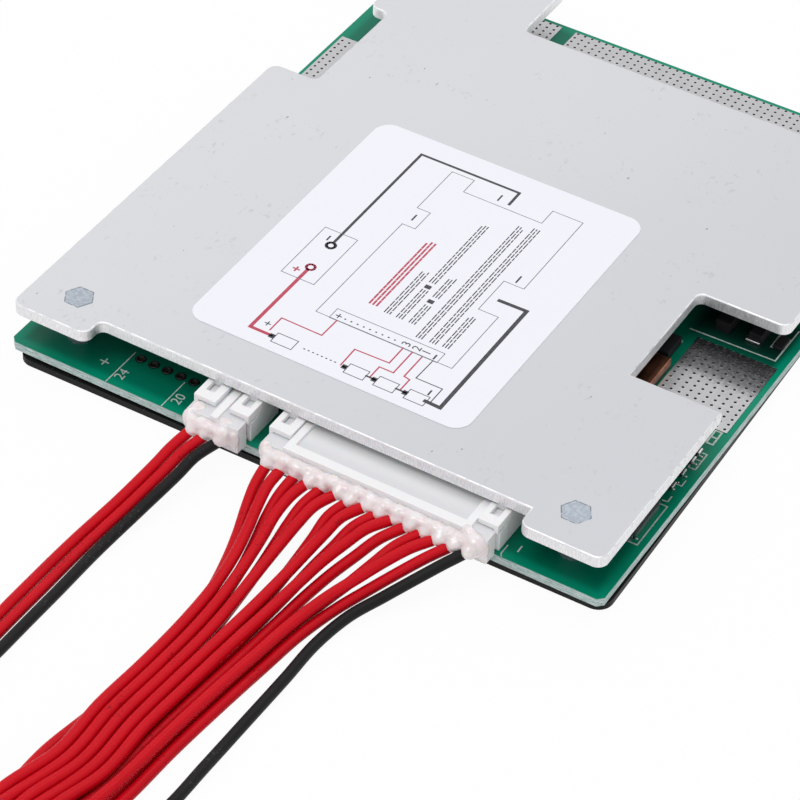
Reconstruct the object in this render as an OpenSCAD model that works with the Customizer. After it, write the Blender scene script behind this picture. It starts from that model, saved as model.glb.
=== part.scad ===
// Battery management board: a circuit board on an insulating sheet, under an aluminium heat spreader,
// with two side-entry headers whose wire harnesses leave the front edge.
// X runs along the connector edge, -Y is the front, +Z is up, and z = 0 is the underside of the sheet.

/* [Board] */
// Width of the circuit board along the connector edge
board_w = 106; // [98:1:130]
// Depth of the circuit board from the connector edge to the output edge
board_d = 124; // [118:1:150]
// Thickness of the circuit board
board_t = 1.6; // [1:0.1:2.4]
// Corner cut of the circuit board
board_corner = 0.9; // [0.2:0.1:2]

/* [Insulating sheet] */
// Thickness of the black sheet under the board
sheet_t = 1.2; // [0.8:0.1:2]
// Thickness of the foam tape that holds the sheet
foam_t = 0.6; // [0.5:0.1:1]
// Inset of the sheet from the side edges of the board
sheet_inset_x = 0.5; // [0.2:0.1:1]
// Inset of the sheet from the front and rear edges of the board
sheet_inset_y = 0.2; // [0.1:0.1:1]
// Corner radius of the sheet
sheet_corner = 2.6; // [1:0.1:5]
// Turn of the hand-fitted sheet, in degrees
sheet_skew = 0.75; // [0:0.05:0.8]
// Inset of the foam tape from the sheet edge
foam_inset = 1.2; // [0.5:0.1:2.5]

/* [Heat spreader] */
// Thickness of the aluminium plate
plate_t = 2; // [1.2:0.1:3]
// Clear height between board and plate
plate_gap = 6; // [5.8:0.1:9]
// Inset of the plate from the side edges of the board
plate_inset = 0.5; // [0:0.1:1.5]
// Width of each front tab
tab_w = 14.2; // [12:0.1:18]
// Depth of the front recess over the headers
recess_d = 4; // [2:0.1:5.5]
// Depth of the battery notch in the right edge
notch_depth = 15.7; // [10:0.1:20]
// Width of the battery notch
notch_w = 23.4; // [20:0.1:30]
// Distance of the battery notch from the front edge
notch_y = 38.3; // [34:0.1:44]
// Depth of the notch in the left edge
side_notch_depth = 8.8; // [6:0.1:12]
// Width of the notch in the left edge
side_notch_w = 23.8; // [18:0.1:26]
// Distance of the left notch from the front edge
side_notch_y = 76; // [70:0.1:80]
// Step of the rear part of the left edge
rear_step = 4.9; // [2:0.1:5]
// Depth of the recess in the rear edge
rear_recess_d = 15.5; // [12:0.1:20]
// Left end of the rear recess, from the board centre
rear_recess_x = -21.2; // [-30:0.1:-16]
// Radius of the outer plate corners
plate_corner = 1.8; // [0.6:0.1:2.6]
// Fillet of the inner plate corners
plate_fillet = 1.3; // [0.5:0.1:2]

/* [Standoffs] */
// Distance of the standoffs from the front and rear edges
standoff_y = 6.8; // [6:0.1:8]
// Distance of the standoffs from the side edges of the board
standoff_inset = 8.7; // [7.5:0.1:10]
// Width across the flats of the pressed hexagon head
hex_af = 4.5; // [4:0.1:5.5]
// Depth of the hexagon head in the plate
hex_t = 1.2; // [0.6:0.1:1.2]
// Outer diameter of the standoff barrel
barrel_d = 4.2; // [3.8:0.1:4.2]
// Diameter of the screws
screw_d = 2.5; // [2:0.1:2.8]
// Diameter of the screw heads
screw_head_d = 4.7; // [4:0.1:5.2]
// Height of the screw heads
screw_head_t = 1.4; // [0.8:0.1:1.4]

/* [Headers] */
// Distance between neighbouring pins
pitch = 2.5; // [2.4:0.05:2.55]
// Height of the header bodies
header_h = 5.7; // [5.2:0.1:5.7]
// Depth of the header box from the board edge to its rear face
header_d = 6.4; // [6:0.1:6.6]
// Depth of the header side walls
header_wing_d = 8.7; // [8.2:0.1:9.5]
// Housing beyond the outermost pin, at each end
header_end = 2.45; // [2.3:0.05:2.5]
// Thickness of the header walls
header_wall = 0.8; // [0.6:0.05:0.9]
// Thickness of the top of the end pieces
header_top_t = 0.9; // [0.7:0.05:1.1]
// Width of the left end piece
end_piece_left = 3.9; // [3.5:0.1:4]
// Width of the right end piece
end_piece_right = 3.5; // [3.2:0.1:3.7]
// Left end of the small header, from the board centre
small_x = -18.3; // [-20:0.1:-17]
// Left end of the main header, from the board centre
main_x = -4.7; // [-5.5:0.1:-4.5]
// Distance of the pin row from the front edge
pin_y = 7.4; // [7.2:0.1:7.6]
// Side of the square pins
pin_side = 0.64; // [0.5:0.02:0.7]
// Length of the pin tails below the board
pin_tail = 0.5; // [0.3:0.05:0.5]

/* [Plugs] */
// Length of the plug in front of the header
plug_out = 2.5; // [2:0.1:3]
// Clearance between plug and header walls
plug_gap = 0.12; // [0.05:0.01:0.2]
// Width of the two ribs on the plug
rib_w = 1.3; // [1:0.1:1.4]
// Height of the ribs above the plug's top face
rib_h = 0.6; // [0.4:0.05:0.7]
// Width of the lip along the front of the wide plug
lip_w = 1.7; // [1:0.1:2.2]
// Length of the glue in front of the plug
glue_len = 1.6; // [1:0.1:1.9]

/* [Pads] */
// Thickness of the tinned pads
pad_t = 0.15; // [0.1:0.01:0.3]
// Width of the battery pad
pad_w = 14.1; // [12:0.1:14.6]
// Depth of the battery pad
pad_d = 18; // [16:0.1:19]
// Distance of the battery pad from the front edge
pad_y = 42.5; // [41:0.1:43]
// Distance of the pads from the board edges
pad_edge = 0.9; // [0.5:0.1:1.5]
// Gap between the two output pads
pad_split = 2.8; // [1.5:0.1:4]
// Diameter of the plated holes
plated_d = 1; // [0.9:0.05:1.1]
// Number of open plated holes beside the small header
spare_holes = 5; // [2:1:5]

/* [Components] */
// Number of power transistors in a row
fets = 7; // [4:1:7]
// Width of a power transistor
fet_w = 10; // [9:0.1:10.4]
// Depth of a power transistor's body
fet_d = 8.7; // [8:0.1:9]
// Height of a power transistor
fet_h = 4.4; // [3.6:0.1:4.6]
// Distance between the two transistor rows
fet_row_gap = 3.4; // [3.2:0.1:5]
// Distance of the transistors from the rear recess
fet_margin = 2.7; // [1.8:0.1:4]
// Width of the copper bar beside the battery pad
bar_w = 4.2; // [3:0.1:5]
// Thickness of the copper bar
bar_t = 2; // [1:0.1:3]
// Length of the copper bar
bar_len = 31; // [20:0.5:34]

/* [Label] */
// Width of the label
label_w = 50; // [40:0.5:56]
// Height of the label
label_d = 60; // [50:0.5:64]
// Thickness of the label
label_t = 0.12; // [0.08:0.01:0.2]
// Corner radius of the label
label_corner = 3; // [1:0.1:6]

/* [Harness] */
// Outer diameter of a wire
wire_d = 1.8; // [1.4:0.05:1.8]
// Length of the tinned tips
tip_len = 2.4; // [1:0.1:2.6]
// Straight run of the main hank
main_run = 36; // [30:1:44]
// Straight run of the small hank
small_run = 30; // [26:1:40]
// Width of the hank ties
tie_w = 2.6; // [2:0.1:4]
// Thickness of the hank ties
tie_t = 0.4; // [0.3:0.05:0.5]

/* [Hidden] */

green = "#0f6b45";
tin = "#b9babd";
nylon = "#f2f1ee";
black_resin = "#1b1b1d";

// Heights
board_z = sheet_t + foam_t;
top_z = board_z + board_t;
plate_z = top_z + plate_gap;
plate_top = plate_z + plate_t;

// Plan positions, counted from the front edge of the board
front_y = -board_d / 2;
plate_w = board_w - 2 * plate_inset;
hole_xy = [for (sx = [-1, 1], y = [standoff_y, board_d - standoff_y])
    [sx * (board_w / 2 - standoff_inset), front_y + y]];
barrel_gap = 0.02;
screw_gap = 0.2;
head_gap = 0.8;

// Headers
main_pins = 15;
small_pins = 3;
function header_w(n) = (n - 1) * pitch + 2 * header_end;
function pin_x(x0, i) = x0 + header_end + i * pitch;
wire_z = top_z + 2.6;
cavity_z = top_z + header_wall;
cavity_top = top_z + header_h - header_top_t;
plug_top = cavity_top - plug_gap;
plug_bottom = top_z - 0.2;
plug_in = header_d - header_wall - 0.3;
slit_z = 3.7;
slit_h = 0.35;
slit_len = 2.6;
side_set_back = 0.8;
window_w = 1.5;
window_inset = 1;
window_y = 1.9;
window_len = 2.4;
solder_r = 0.85;
spare_x = -33.2;

// Transistor rows
fet_pitch = 12;
fet_rear_y = board_d - rear_recess_d - fet_margin;
fet_front_y = fet_rear_y - 2 * fet_d - fet_row_gap;
fet_tab_t = 1.3;
fet_tab_out = 1.2;
fet_leg = [0.9, 2.2, 0.5];

// Battery pad and copper bar
pad_x = board_w / 2 - pad_edge - pad_w;
bar_y = 20.6;
bar_gap = 0.3;

// Controller chips
chip_at = [[-30, 34], [-10, 34], [10, 34], [-20, 54], [4, 54]];
chip_size = [7.2, 5.3, 1.6];
chip_lead = [0.3, 1, 0.85];
chip_lead_pitch = 0.65;
chip_legs = 10;

// Two rows of balance resistors and a row of their transistors
resistor_size = [3.2, 1.6, 0.6];
resistor_rows = [16, 19.4];
balance_row = 24.4;
row_pitch = 4;
row_parts = main_pins + 2;
row_clear = 1;
row_x = pad_x - bar_gap - bar_w - row_clear - resistor_size[0] / 2 - (row_parts - 1) * row_pitch;
sot = [2.9, 1.3, 1];
sot_leg = [0.4, 0.55, 0.5];

// Small capacitors beside each chip, and a row of larger ones in front of the transistors
small_cap = [1.25, 2, 1.2];
small_cap_x = 6.4;
large_cap = [3.2, 2.5, 1.8];
large_cap_at = [-28, 64];
large_cap_pitch = 9;

// Parts round the battery notch: place from the right edge and the notch's rear edge, then size
notch_part_at = [[12.4, 4.5, 2.6, 4.6, 2.1], [6.8, 4.7, 2.3, 4.4, 1.9], [3, 4.6, 1.6, 3.2, 0.6],
    [18.4, -6.5, 3.9, 4.9, 1.6]];

// Diodes and the flat fuse along the right edge
diode_size = [1.8, 1.4, 0.8];
diode_inset = 3;
diode_y = [27.2, 30.6, 33.9, 36.1];
fuse_at = [board_w / 2 - 4, 13.9];
fuse_size = [3.4, 8.4, 2.6];

// Label centre
label_x = -3.2;
label_y = 42.4;

// Harness routes: stations from the front edge, and the place of each wire at each station
stations = [-8, -12, -16, -21, -28, -36, -46, -56, -66, -76, -88];
main_route = [
    [-1.9, 0.3, 2.4, 4.4, 6.5, 8.5, 11, 13.1, 15.3, 17.5, 19.8, 22.6, 25, 27.5, 30.2],
    [-1, 1, 2.6, 4.2, 6.2, 8, 10.8, 12.5, 14.3, 16.1, 18, 21, 22.9, 24.9, 27.6],
    [0.2, 1.9, 3.3, 4.6, 6.3, 7.7, 10.6, 11.9, 13.4, 14.8, 16.4, 19.6, 21, 22.6, 25.2],
    [1.5, 2.9, 4.2, 5.1, 6.6, 7.6, 10.5, 11.4, 12.8, 13.9, 15.2, 18, 19, 20.3, 22.7],
    [2.9, 3.7, 5, 5.7, 7, 7.8, 10.2, 10.8, 12.2, 13, 14.3, 16.4, 17.2, 18.4, 21.3],
    [3.6, 3.9, 5.5, 5.9, 7.4, 7.9, 9.8, 10.1, 11.7, 12.1, 13.6, 15.5, 16.1, 17.4, 21.2],
    [3, 3.6, 4.9, 5.5, 6.8, 7.4, 8.7, 9.3, 10.6, 11.3, 12.5, 14.4, 14.9, 16.3, 21],
    [2.1, 2.9, 4, 4.8, 5.9, 6.7, 7.8, 8.7, 9.7, 10.6, 11.6, 13.5, 14, 15.4, 20.8],
    [0.6, 3.1, 3.5, 5, 5.4, 6.9, 7.3, 8.8, 9.2, 10.7, 11.1, 13, 13.3, 14.9, 20.5],
    [0.6, 0.6, 2.5, 2.5, 4.4, 4.4, 6.3, 6.3, 8.2, 8.2, 10.1, 12, 12, 13.9, 18.4],
    [0.6, 0.6, 2.5, 2.5, 4.4, 4.4, 6.3, 6.3, 8.2, 8.2, 10.1, 12, 12, 13.9, 14]];
lying_z = [5, 3.6, 2.4, 1.5, 1, 0.9, 0.9, 0.9, 0.9, 0.9, 1.1];
riding_z = [5.8, 5.1, 4.2, 3.5, 3, 2.8, 2.8, 2.8, 2.8, 2.8, 3];
riders = [1, 3, 5, 7, 9, 12];
grid = [[0, 0], [0, 1], [0, 2], [0, 3], [1, 0], [1, 1], [1, 2], [1, 3], [2, 0], [2, 1], [2, 2],
    [3, 0], [3, 1], [3, 2], [4, 0]];
row_rise = 1.9;
lane_pitch = 1.9;
lane_z = 1.3;
main_columns = 5;
main_rows = 4;
main_lane_x = 7.2;
main_hank_y = -100;
main_lane_w = (main_columns - 1) * lane_pitch + wire_d;
main_lane_step = 9.6;
main_bend = 17;
main_hank_h = (main_rows - 1) * row_rise + wire_d;

small_stations = [-8, -12, -20, -30, -40, -52];
small_route = [
    [-16.9, -14.8, -12.7],
    [-17.5, -15.5, -13.4],
    [-18.5, -16.6, -14.6],
    [-19.9, -17.9, -15.8],
    [-20.3, -18.2, -16],
    [-20.3, -18.3, -16.1]];
small_z = [5, 3.9, 2.5, 1.2, 0.9, 0.9];
small_lane_x = -18;
small_hank_y = -66;
small_lane_pitch = 2;
small_lane_w = 2 * small_lane_pitch + wire_d;
small_lane_step = 5.9;
small_bend = 15.3;
lane_lead = 3;
exit_run = 2.6;
tip_d = 1.1;

function contains(list, v) = len([for (e = list) if (e == v) 1]) > 0;

// Where lane k of a hank lies, from its first lane
function lane_offset(k, bend, step) = k % 2 == 0 ? k / 2 * step : 2 * bend - (k - 1) / 2 * step;

// The points of one main wire, from the plug to the hank
function main_points(i) = concat(
    [for (y = [-plug_out, -plug_out - exit_run]) [pin_x(main_x, i), front_y + y, wire_z]],
    [for (k = [0 : len(stations) - 1]) [main_route[k][i], front_y + stations[k],
        k < len(stations) - 1 ? (contains(riders, i) ? riding_z[k] : lying_z[k])
            : lying_z[k] + row_rise * grid[i][1]]],
    [for (y = [main_hank_y + lane_lead, main_hank_y])
        [main_lane_x + lane_pitch * (grid[i][0] - (main_columns - 1) / 2), front_y + y,
            lane_z + row_rise * grid[i][1]]]);

// The points of one small wire, from the plug to the hank
function small_points(i) = concat(
    [for (y = [-plug_out, -plug_out - exit_run]) [pin_x(small_x, i), front_y + y, wire_z]],
    [for (k = [0 : len(small_stations) - 1]) [small_route[k][i], front_y + small_stations[k], small_z[k]]],
    [for (y = [small_hank_y + lane_lead, small_hank_y])
        [small_lane_x + small_lane_pitch * (i - 1), front_y + y, lane_z]]);

function unit(v) = v / norm(v);
function heading(p, k) = k == 0 || k == len(p) - 1 ? [0, -1, 0]
    : unit(unit(p[k + 1] - p[k]) + unit(p[k] - p[k - 1]));

// A tube of eight sides swept along a list of points
module wire(p) {
    sides = 8;
    r = wire_d / 2;
    rings = [for (k = [0 : len(p) - 1])
        let (t = heading(p, k), u = unit(cross(t, [0, 0, 1])), v = cross(u, t))
        for (s = [0 : sides - 1]) p[k] + r * (cos(360 / sides * s) * u + sin(360 / sides * s) * v)];
    last = (len(p) - 1) * sides;
    faces = concat(
        [[for (s = [0 : sides - 1]) s]],
        [for (k = [0 : len(p) - 2], s = [0 : sides - 1])
            let (a = k * sides + s, b = k * sides + (s + 1) % sides) [a, a + sides, b + sides, b]],
        [[for (s = [sides - 1 : -1 : 0]) last + s]]);
    polyhedron(points = rings, faces = faces, convexity = 10);
}

// A block with its lower left front corner given
module block(at, size) {
    translate(at) cube(size);
}

// A rectangle with rounded corners
module rounded(w, d, r) {
    for (sx = [-1, 1], sy = [-1, 1]) translate([sx * (w / 2 - r), sy * (d / 2 - r)]) circle(r, $fn = 48);
    square([w - 2 * r, d], center = true);
    square([w, d - 2 * r], center = true);
}

module circuit_board() {
    color(green) difference() {
        translate([0, 0, board_z]) linear_extrude(board_t) difference() {
            square([board_w, board_d], center = true);
            for (sx = [-1, 1], sy = [-1, 1]) translate([sx * board_w / 2, sy * board_d / 2])
                rotate(45) square(board_corner * sqrt(2), center = true);
        }
        for (p = hole_xy) translate([p[0], p[1], board_z - 1])
            cylinder(d = screw_d + 2 * screw_gap, h = board_t + 2, $fn = 48);
        for (x = concat([for (i = [0 : main_pins - 1]) pin_x(main_x, i)],
                [for (i = [0 : small_pins - 1]) pin_x(small_x, i)],
                [for (i = [0 : spare_holes - 1]) spare_x + i * pitch]))
            translate([x, front_y + pin_y, board_z - 1]) cylinder(d = plated_d, h = board_t + 2, $fn = 32);
    }
}

module sheet_outline(inset, r) {
    rotate(sheet_skew)
        rounded(board_w - 2 * (sheet_inset_x + inset), board_d - 2 * (sheet_inset_y + inset), r);
}

module insulating_sheet() {
    color("#1d1f20") difference() {
        linear_extrude(sheet_t) sheet_outline(0, sheet_corner);
        for (p = hole_xy) translate([p[0], p[1], -1])
            cylinder(d = screw_head_d + head_gap, h = sheet_t + 2, $fn = 48);
    }
}

module foam_tape() {
    color("#111213") difference() {
        translate([0, 0, sheet_t]) linear_extrude(foam_t)
            sheet_outline(foam_inset, sheet_corner - 0.6);
        for (p = hole_xy) translate([p[0], p[1], 0])
            cylinder(d = screw_head_d + head_gap, h = top_z, $fn = 48);
        for (h = [[main_x, main_pins], [small_x, small_pins]])
            block([h[0] + 0.6, front_y + pin_y - 1.4, 0], [header_w(h[1]) - 1.2, 2.8, top_z]);
        block([spare_x - 1.4, front_y + pin_y - 1.4, 0], [(spare_holes - 1) * pitch + 2.8, 2.8, top_z]);
    }
}

// The plan of the heat spreader: inner corners are filled first, then outer corners are rounded
module plate_outline() {
    half = plate_w / 2;
    rear = board_d / 2;
    notch_end = front_y + notch_y + notch_w;
    side_end = front_y + side_notch_y + side_notch_w;
    for (c = [[-half + tab_w, front_y + recess_d, 270], [half - notch_depth, notch_end, 270],
            [-half + side_notch_depth, front_y + side_notch_y, 90], [-half + side_notch_depth, side_end, 180],
            [rear_recess_x, rear - rear_recess_d, 0], [half - tab_w, rear - rear_recess_d, 90]])
        translate([c[0], c[1]]) rotate(c[2]) corner_cut(plate_fillet);
    difference() {
        translate([-half, front_y]) square([plate_w, board_d]);
        translate([-half + tab_w, front_y - 9]) square([plate_w - 2 * tab_w, 9 + recess_d]);
        translate([half - notch_depth, front_y + notch_y]) square([notch_depth + 9, notch_w]);
        translate([-half - 9, front_y + side_notch_y]) square([9 + side_notch_depth, side_notch_w]);
        translate([-half - 9, front_y + side_notch_y]) square([9 + rear_step, board_d]);
        translate([rear_recess_x, rear - rear_recess_d])
            square([half - tab_w - rear_recess_x, rear_recess_d + 9]);
        for (c = [[-half, front_y, 0], [half, front_y, 90], [half, rear, 180], [-half + rear_step, rear, 270],
                [half, notch_end, 90], [-half + tab_w, front_y, 90], [half - tab_w, front_y, 0],
                [-half, front_y + side_notch_y, 270], [-half + rear_step, side_end, 0],
                [rear_recess_x, rear, 180], [half - tab_w, rear, 270]])
            translate([c[0], c[1]]) rotate(c[2]) corner_cut(plate_corner);
    }
}

// What a rounded corner of radius r takes away at the origin
module corner_cut(r) {
    difference() {
        translate([-1, -1]) square(r + 1);
        translate([r, r]) circle(r, $fn = 48);
    }
}

module heat_spreader() {
    color("#d3d4d8") difference() {
        translate([0, 0, plate_z]) linear_extrude(plate_t) plate_outline();
        for (p = hole_xy) translate([p[0], p[1], plate_z - 1]) {
            cylinder(d = barrel_d + 2 * barrel_gap, h = plate_t + 2, $fn = 48);
            translate([0, 0, plate_t + 1 - hex_t]) cylinder(d = hex_af / cos(30), h = hex_t + 1, $fn = 6);
        }
    }
}

// Each pressed standoff: a hexagon head flush with the plate, and a tapped barrel down to the board
module standoffs() {
    color("#b4b8bd") for (p = hole_xy) translate([p[0], p[1], top_z]) difference() {
        union() {
            cylinder(d = barrel_d, h = plate_gap + plate_t - hex_t, $fn = 48);
            translate([0, 0, plate_gap + plate_t - hex_t])
                cylinder(d = hex_af / cos(30), h = hex_t, $fn = 6);
        }
        translate([0, 0, -1]) cylinder(d = screw_d, h = plate_gap, $fn = 32);
    }
}

module standoff_screws() {
    color("#c9c9c5") for (p = hole_xy) translate([p[0], p[1], board_z]) difference() {
        union() {
            translate([0, 0, -screw_head_t]) cylinder(d = screw_head_d, h = screw_head_t, $fn = 48);
            cylinder(d = screw_d, h = board_t + plate_gap - 1.6, $fn = 32);
        }
        for (a = [0, 90]) rotate(a) block([-1.3, -0.25, -screw_head_t - 1], [2.6, 0.5, 1.8]);
    }
}

// A side-entry header: box open to the front, end pieces with a window, slit side walls, and rear wings
module header(x0, n) {
    w = header_w(n);
    z = top_z;
    open_x0 = x0 + end_piece_left;
    open_w = w - end_piece_left - end_piece_right;
    color(nylon) difference() {
        block([x0, front_y, z], [w, header_wing_d, header_h]);
        block([x0 + header_wall, front_y - 1, cavity_z],
            [w - 2 * header_wall, header_d - header_wall + 1, cavity_top - cavity_z]);
        block([open_x0, front_y - 1, cavity_z], [open_w, header_d - header_wall + 1, header_h + 1]);
        block([x0 + header_wall, front_y + header_d, z - 1],
            [w - 2 * header_wall, header_wing_d, header_h + 2]);
        for (x = [x0 + window_inset, x0 + w - window_inset - window_w])
            block([x, front_y + window_y, cavity_top - 0.5], [window_w, window_len, header_top_t + 1]);
        for (x = [x0 - 1, x0 + w - header_wall - 0.1]) {
            block([x, front_y - 1, z + slit_z], [header_wall + 1.1, slit_len + 1, slit_h]);
            block([x, front_y - 1, z - 1], [header_wall + 1.1, side_set_back + 1, slit_z + slit_h + 1]);
        }
        for (i = [0 : n - 1])
            translate([pin_x(x0, i), front_y + header_d, wire_z]) rotate([90, 0, 0])
                cylinder(d = pin_side * sqrt(2) + 0.04, h = header_wall + 1, $fn = 16);
    }
}

// The bent pins of a header
module header_pins(x0, n) {
    s = pin_side;
    start = front_y + 2.6;
    color("#d0c58e") for (i = [0 : n - 1]) translate([pin_x(x0, i), 0, 0]) {
        block([-s / 2, start, wire_z - s / 2], [s, front_y + pin_y + s / 2 - start, s]);
        block([-s / 2, front_y + pin_y - s / 2, board_z - pin_tail],
            [s, s, wire_z + s / 2 - board_z + pin_tail]);
    }
}

module header_solder() {
    color(tin) for (x = concat([for (i = [0 : main_pins - 1]) pin_x(main_x, i)],
            [for (i = [0 : small_pins - 1]) pin_x(small_x, i)]))
        translate([x, front_y + pin_y, board_z]) difference() {
            mirror([0, 0, 1]) cylinder(r1 = solder_r, r2 = pin_side * 0.75, h = pin_tail, $fn = 32);
            cube([pin_side, pin_side, 3], center = true);
        }
}

// A crimp housing: collar in front of the header, tongue inside it, ribs on top, a cell for each terminal.
// A wide one has a lip along its front, so that its ribs frame a sunken panel
module plug(x0, n) {
    w = header_w(n);
    inner_w = w - 2 * header_wall - 2 * plug_gap;
    open_x0 = x0 + end_piece_left + plug_gap;
    open_w = w - end_piece_left - end_piece_right - 2 * plug_gap;
    tongue_z = cavity_z + plug_gap;
    wide = open_w > 3 * rib_w;
    rib_at = wide ? [open_x0, open_x0 + open_w - rib_w] : [open_x0 + (open_w - rib_w) / 2];
    color(nylon) difference() {
        union() {
            block([x0 + 0.3, front_y - plug_out, plug_bottom], [w - 0.6, plug_out, plug_top - plug_bottom]);
            block([x0 + header_wall + plug_gap, front_y, tongue_z], [inner_w, plug_in, plug_top - tongue_z]);
            for (x = rib_at)
                block([x, front_y - plug_out, plug_top - 0.5], [rib_w, plug_out + plug_in, 0.5 + rib_h]);
            if (wide)
                block([open_x0, front_y - plug_out, plug_top - 0.5], [open_w, lip_w, 0.5 + rib_h]);
        }
        for (i = [0 : n - 1]) translate([pin_x(x0, i), 0, wire_z]) {
            block([-0.95, front_y - plug_out + 1.2, -1.15], [1.9, plug_in + plug_out, 2.3]);
            translate([0, front_y - plug_out - 1, 0]) rotate([-90, 0, 0])
                cylinder(d = wire_d, h = 4, $fn = 32);
        }
    }
}

// Crimped terminals: a barrel at the wire and a box that takes the pin
module terminals(x0, n) {
    inner = pin_side + 0.06;
    start = front_y - plug_out;
    box_y = front_y + 0.9;
    color("#c8b87a") for (i = [0 : n - 1]) translate([pin_x(x0, i), 0, wire_z]) {
        translate([0, start, 0]) rotate([-90, 0, 0]) cylinder(d = wire_d - 0.2, h = box_y - start, $fn = 24);
        difference() {
            block([-0.8, box_y, -0.9], [1.6, plug_in - 1.3, 1.8]);
            block([-inner / 2, box_y + 0.6, -inner / 2], [inner, plug_in, inner]);
        }
    }
}

// Hot-melt glue in lumps over the wire exits
module glue(x0, n) {
    w = header_w(n);
    y = front_y - plug_out;
    color("#efe9ea") difference() {
        union() {
            block([x0 + 0.3, y - glue_len, plug_bottom + 0.6], [w - 0.6, glue_len, 3.6]);
            for (i = [0 : n - 1]) translate([pin_x(x0, i), y, wire_z + 0.4]) rotate([90, 0, 0])
                cylinder(r = 1.45 + 0.25 * sin(137 * i), h = glue_len + 0.3 + 0.2 * cos(97 * i), $fn = 24);
        }
        for (i = [0 : n - 1]) translate([pin_x(x0, i), y + 1, wire_z]) rotate([90, 0, 0])
            cylinder(d = wire_d, h = glue_len + 3, $fn = 32);
    }
}

module battery_pad() {
    color(tin) block([pad_x, front_y + pad_y, top_z], [pad_w, pad_d, pad_t]);
}

// Two pads along the rear edge, behind the plate's recess
module output_pads() {
    d = rear_recess_d - pad_edge - 0.6;
    y = -front_y - pad_edge - d;
    split = rear_recess_x + 1.6;
    color(tin) {
        block([-board_w / 2 + 12, y, top_z], [split - pad_split / 2 + board_w / 2 - 12, d, pad_t]);
        block([split + pad_split / 2, y, top_z], [plate_w / 2 - tab_w - split - pad_split / 2, d, pad_t]);
    }
}

module side_pad() {
    color(tin) block([-board_w / 2 + pad_edge - 0.2, front_y + side_notch_y + 4, top_z],
        [side_notch_depth - 2, side_notch_w - 5, pad_t]);
}

module copper_bar() {
    color("#9c5a3c") block([pad_x - bar_gap - bar_w, front_y + bar_y, top_z], [bar_w, bar_len, bar_t]);
}

module each_fet() {
    for (i = [0 : fets - 1], y = [fet_front_y, fet_rear_y - fet_d])
        translate([(i - (fets - 1) / 2) * fet_pitch, front_y + y, top_z]) children();
}

module power_transistors() {
    color(black_resin) each_fet() difference() {
        block([-fet_w / 2, 0, fet_tab_t], [fet_w, fet_d, fet_h - fet_tab_t]);
        translate([-fet_w / 2 + 1.6, 1.6, fet_h - 0.15]) cylinder(r = 0.7, h = 1, $fn = 24);
    }
}

// Soldered tab and legs of each power transistor
module transistor_tabs() {
    color(tin) each_fet() {
        block([-fet_w / 2, 0.4, 0], [fet_w, fet_d - 0.4 + fet_tab_out, fet_tab_t]);
        for (x = [-2.54, 2.54]) {
            block([x - fet_leg[0] / 2, 0.4 - fet_leg[1], 0], [fet_leg[0], fet_leg[1], fet_leg[2]]);
        }
    }
}

// Silicone strips between the transistors and the plate
module thermal_pads() {
    w = (fets - 1) * fet_pitch + fet_w;
    color("#8d959b") for (y = [fet_front_y, fet_rear_y - fet_d])
        block([-w / 2, front_y + y + 0.6, top_z + fet_h], [w, fet_d - 1.2, plate_gap - fet_h]);
}

module controller_chips() {
    color(black_resin) for (p = chip_at) translate([p[0], front_y + p[1], top_z + 0.15]) difference() {
        block([-chip_size[0] / 2, -chip_size[1] / 2, 0], chip_size);
        translate([-chip_size[0] / 2 + 0.9, -chip_size[1] / 2 + 0.9, chip_size[2] - 0.1])
            cylinder(r = 0.35, h = 1, $fn = 24);
    }
}

module chip_leads() {
    color(tin) for (p = chip_at, i = [0 : chip_legs - 1], s = [-1, 1])
        translate([p[0] + (i - (chip_legs - 1) / 2) * chip_lead_pitch,
                front_y + p[1] + s * (chip_size[1] + chip_lead[1]) / 2, top_z])
            block([-chip_lead[0] / 2, -chip_lead[1] / 2, 0], chip_lead);
}

module balance_resistors() {
    color("#2b2b2e") for (i = [0 : row_parts - 1], y = resistor_rows)
        block([row_x + i * row_pitch - resistor_size[0] / 2, front_y + y, top_z], resistor_size);
}

module balance_transistors() {
    color(black_resin) for (i = [0 : row_parts - 1])
        translate([row_x + i * row_pitch, front_y + balance_row, top_z]) {
            block([-sot[0] / 2, -sot[1] / 2, 0.1], sot);
            for (p = [[-1, -1], [1, -1], [0, 1]])
                block([p[0] - sot_leg[0] / 2, p[1] * (sot[1] + sot_leg[1]) / 2 - sot_leg[1] / 2, 0], sot_leg);
        }
}

module capacitors() {
    color("#b08d6b") {
        for (p = chip_at, s = [-1, 1])
            block([p[0] + s * small_cap_x - small_cap[0] / 2, front_y + p[1] - small_cap[1] / 2, top_z],
                small_cap);
        for (i = [0 : 5])
            block([large_cap_at[0] + i * large_cap_pitch, front_y + large_cap_at[1], top_z], large_cap);
    }
}

module notch_parts() {
    color(black_resin) for (p = notch_part_at)
        block([board_w / 2 - p[0] - p[2] / 2, front_y + notch_y + notch_w + p[1] - p[3] / 2, top_z],
            [p[2], p[3], p[4]]);
}

module edge_diodes() {
    color(black_resin) for (y = diode_y)
        block([board_w / 2 - diode_inset - diode_size[0] / 2, front_y + y - diode_size[1] / 2, top_z],
            diode_size);
}

module edge_fuse() {
    color(black_resin) block([fuse_at[0] - fuse_size[0] / 2, front_y + fuse_at[1], top_z + 0.2],
        [fuse_size[0], fuse_size[1], fuse_size[2] - 0.2]);
}

// The bent frame that holds the fuse's moulded body
module edge_fuse_frame() {
    x = fuse_at[0] + fuse_size[0] / 2;
    color(tin) {
        block([x, front_y + fuse_at[1] + 0.4, top_z], [0.35, fuse_size[1] - 0.8, 1.1]);
        for (y = [-0.5, fuse_size[1]]) block([x - 1.4, front_y + fuse_at[1] + y, top_z], [1.4, 0.5, 0.9]);
    }
}

module label() {
    color("white") translate([label_x, front_y + label_y, plate_top])
        linear_extrude(label_t) rounded(label_w, label_d, label_corner);
}

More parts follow.
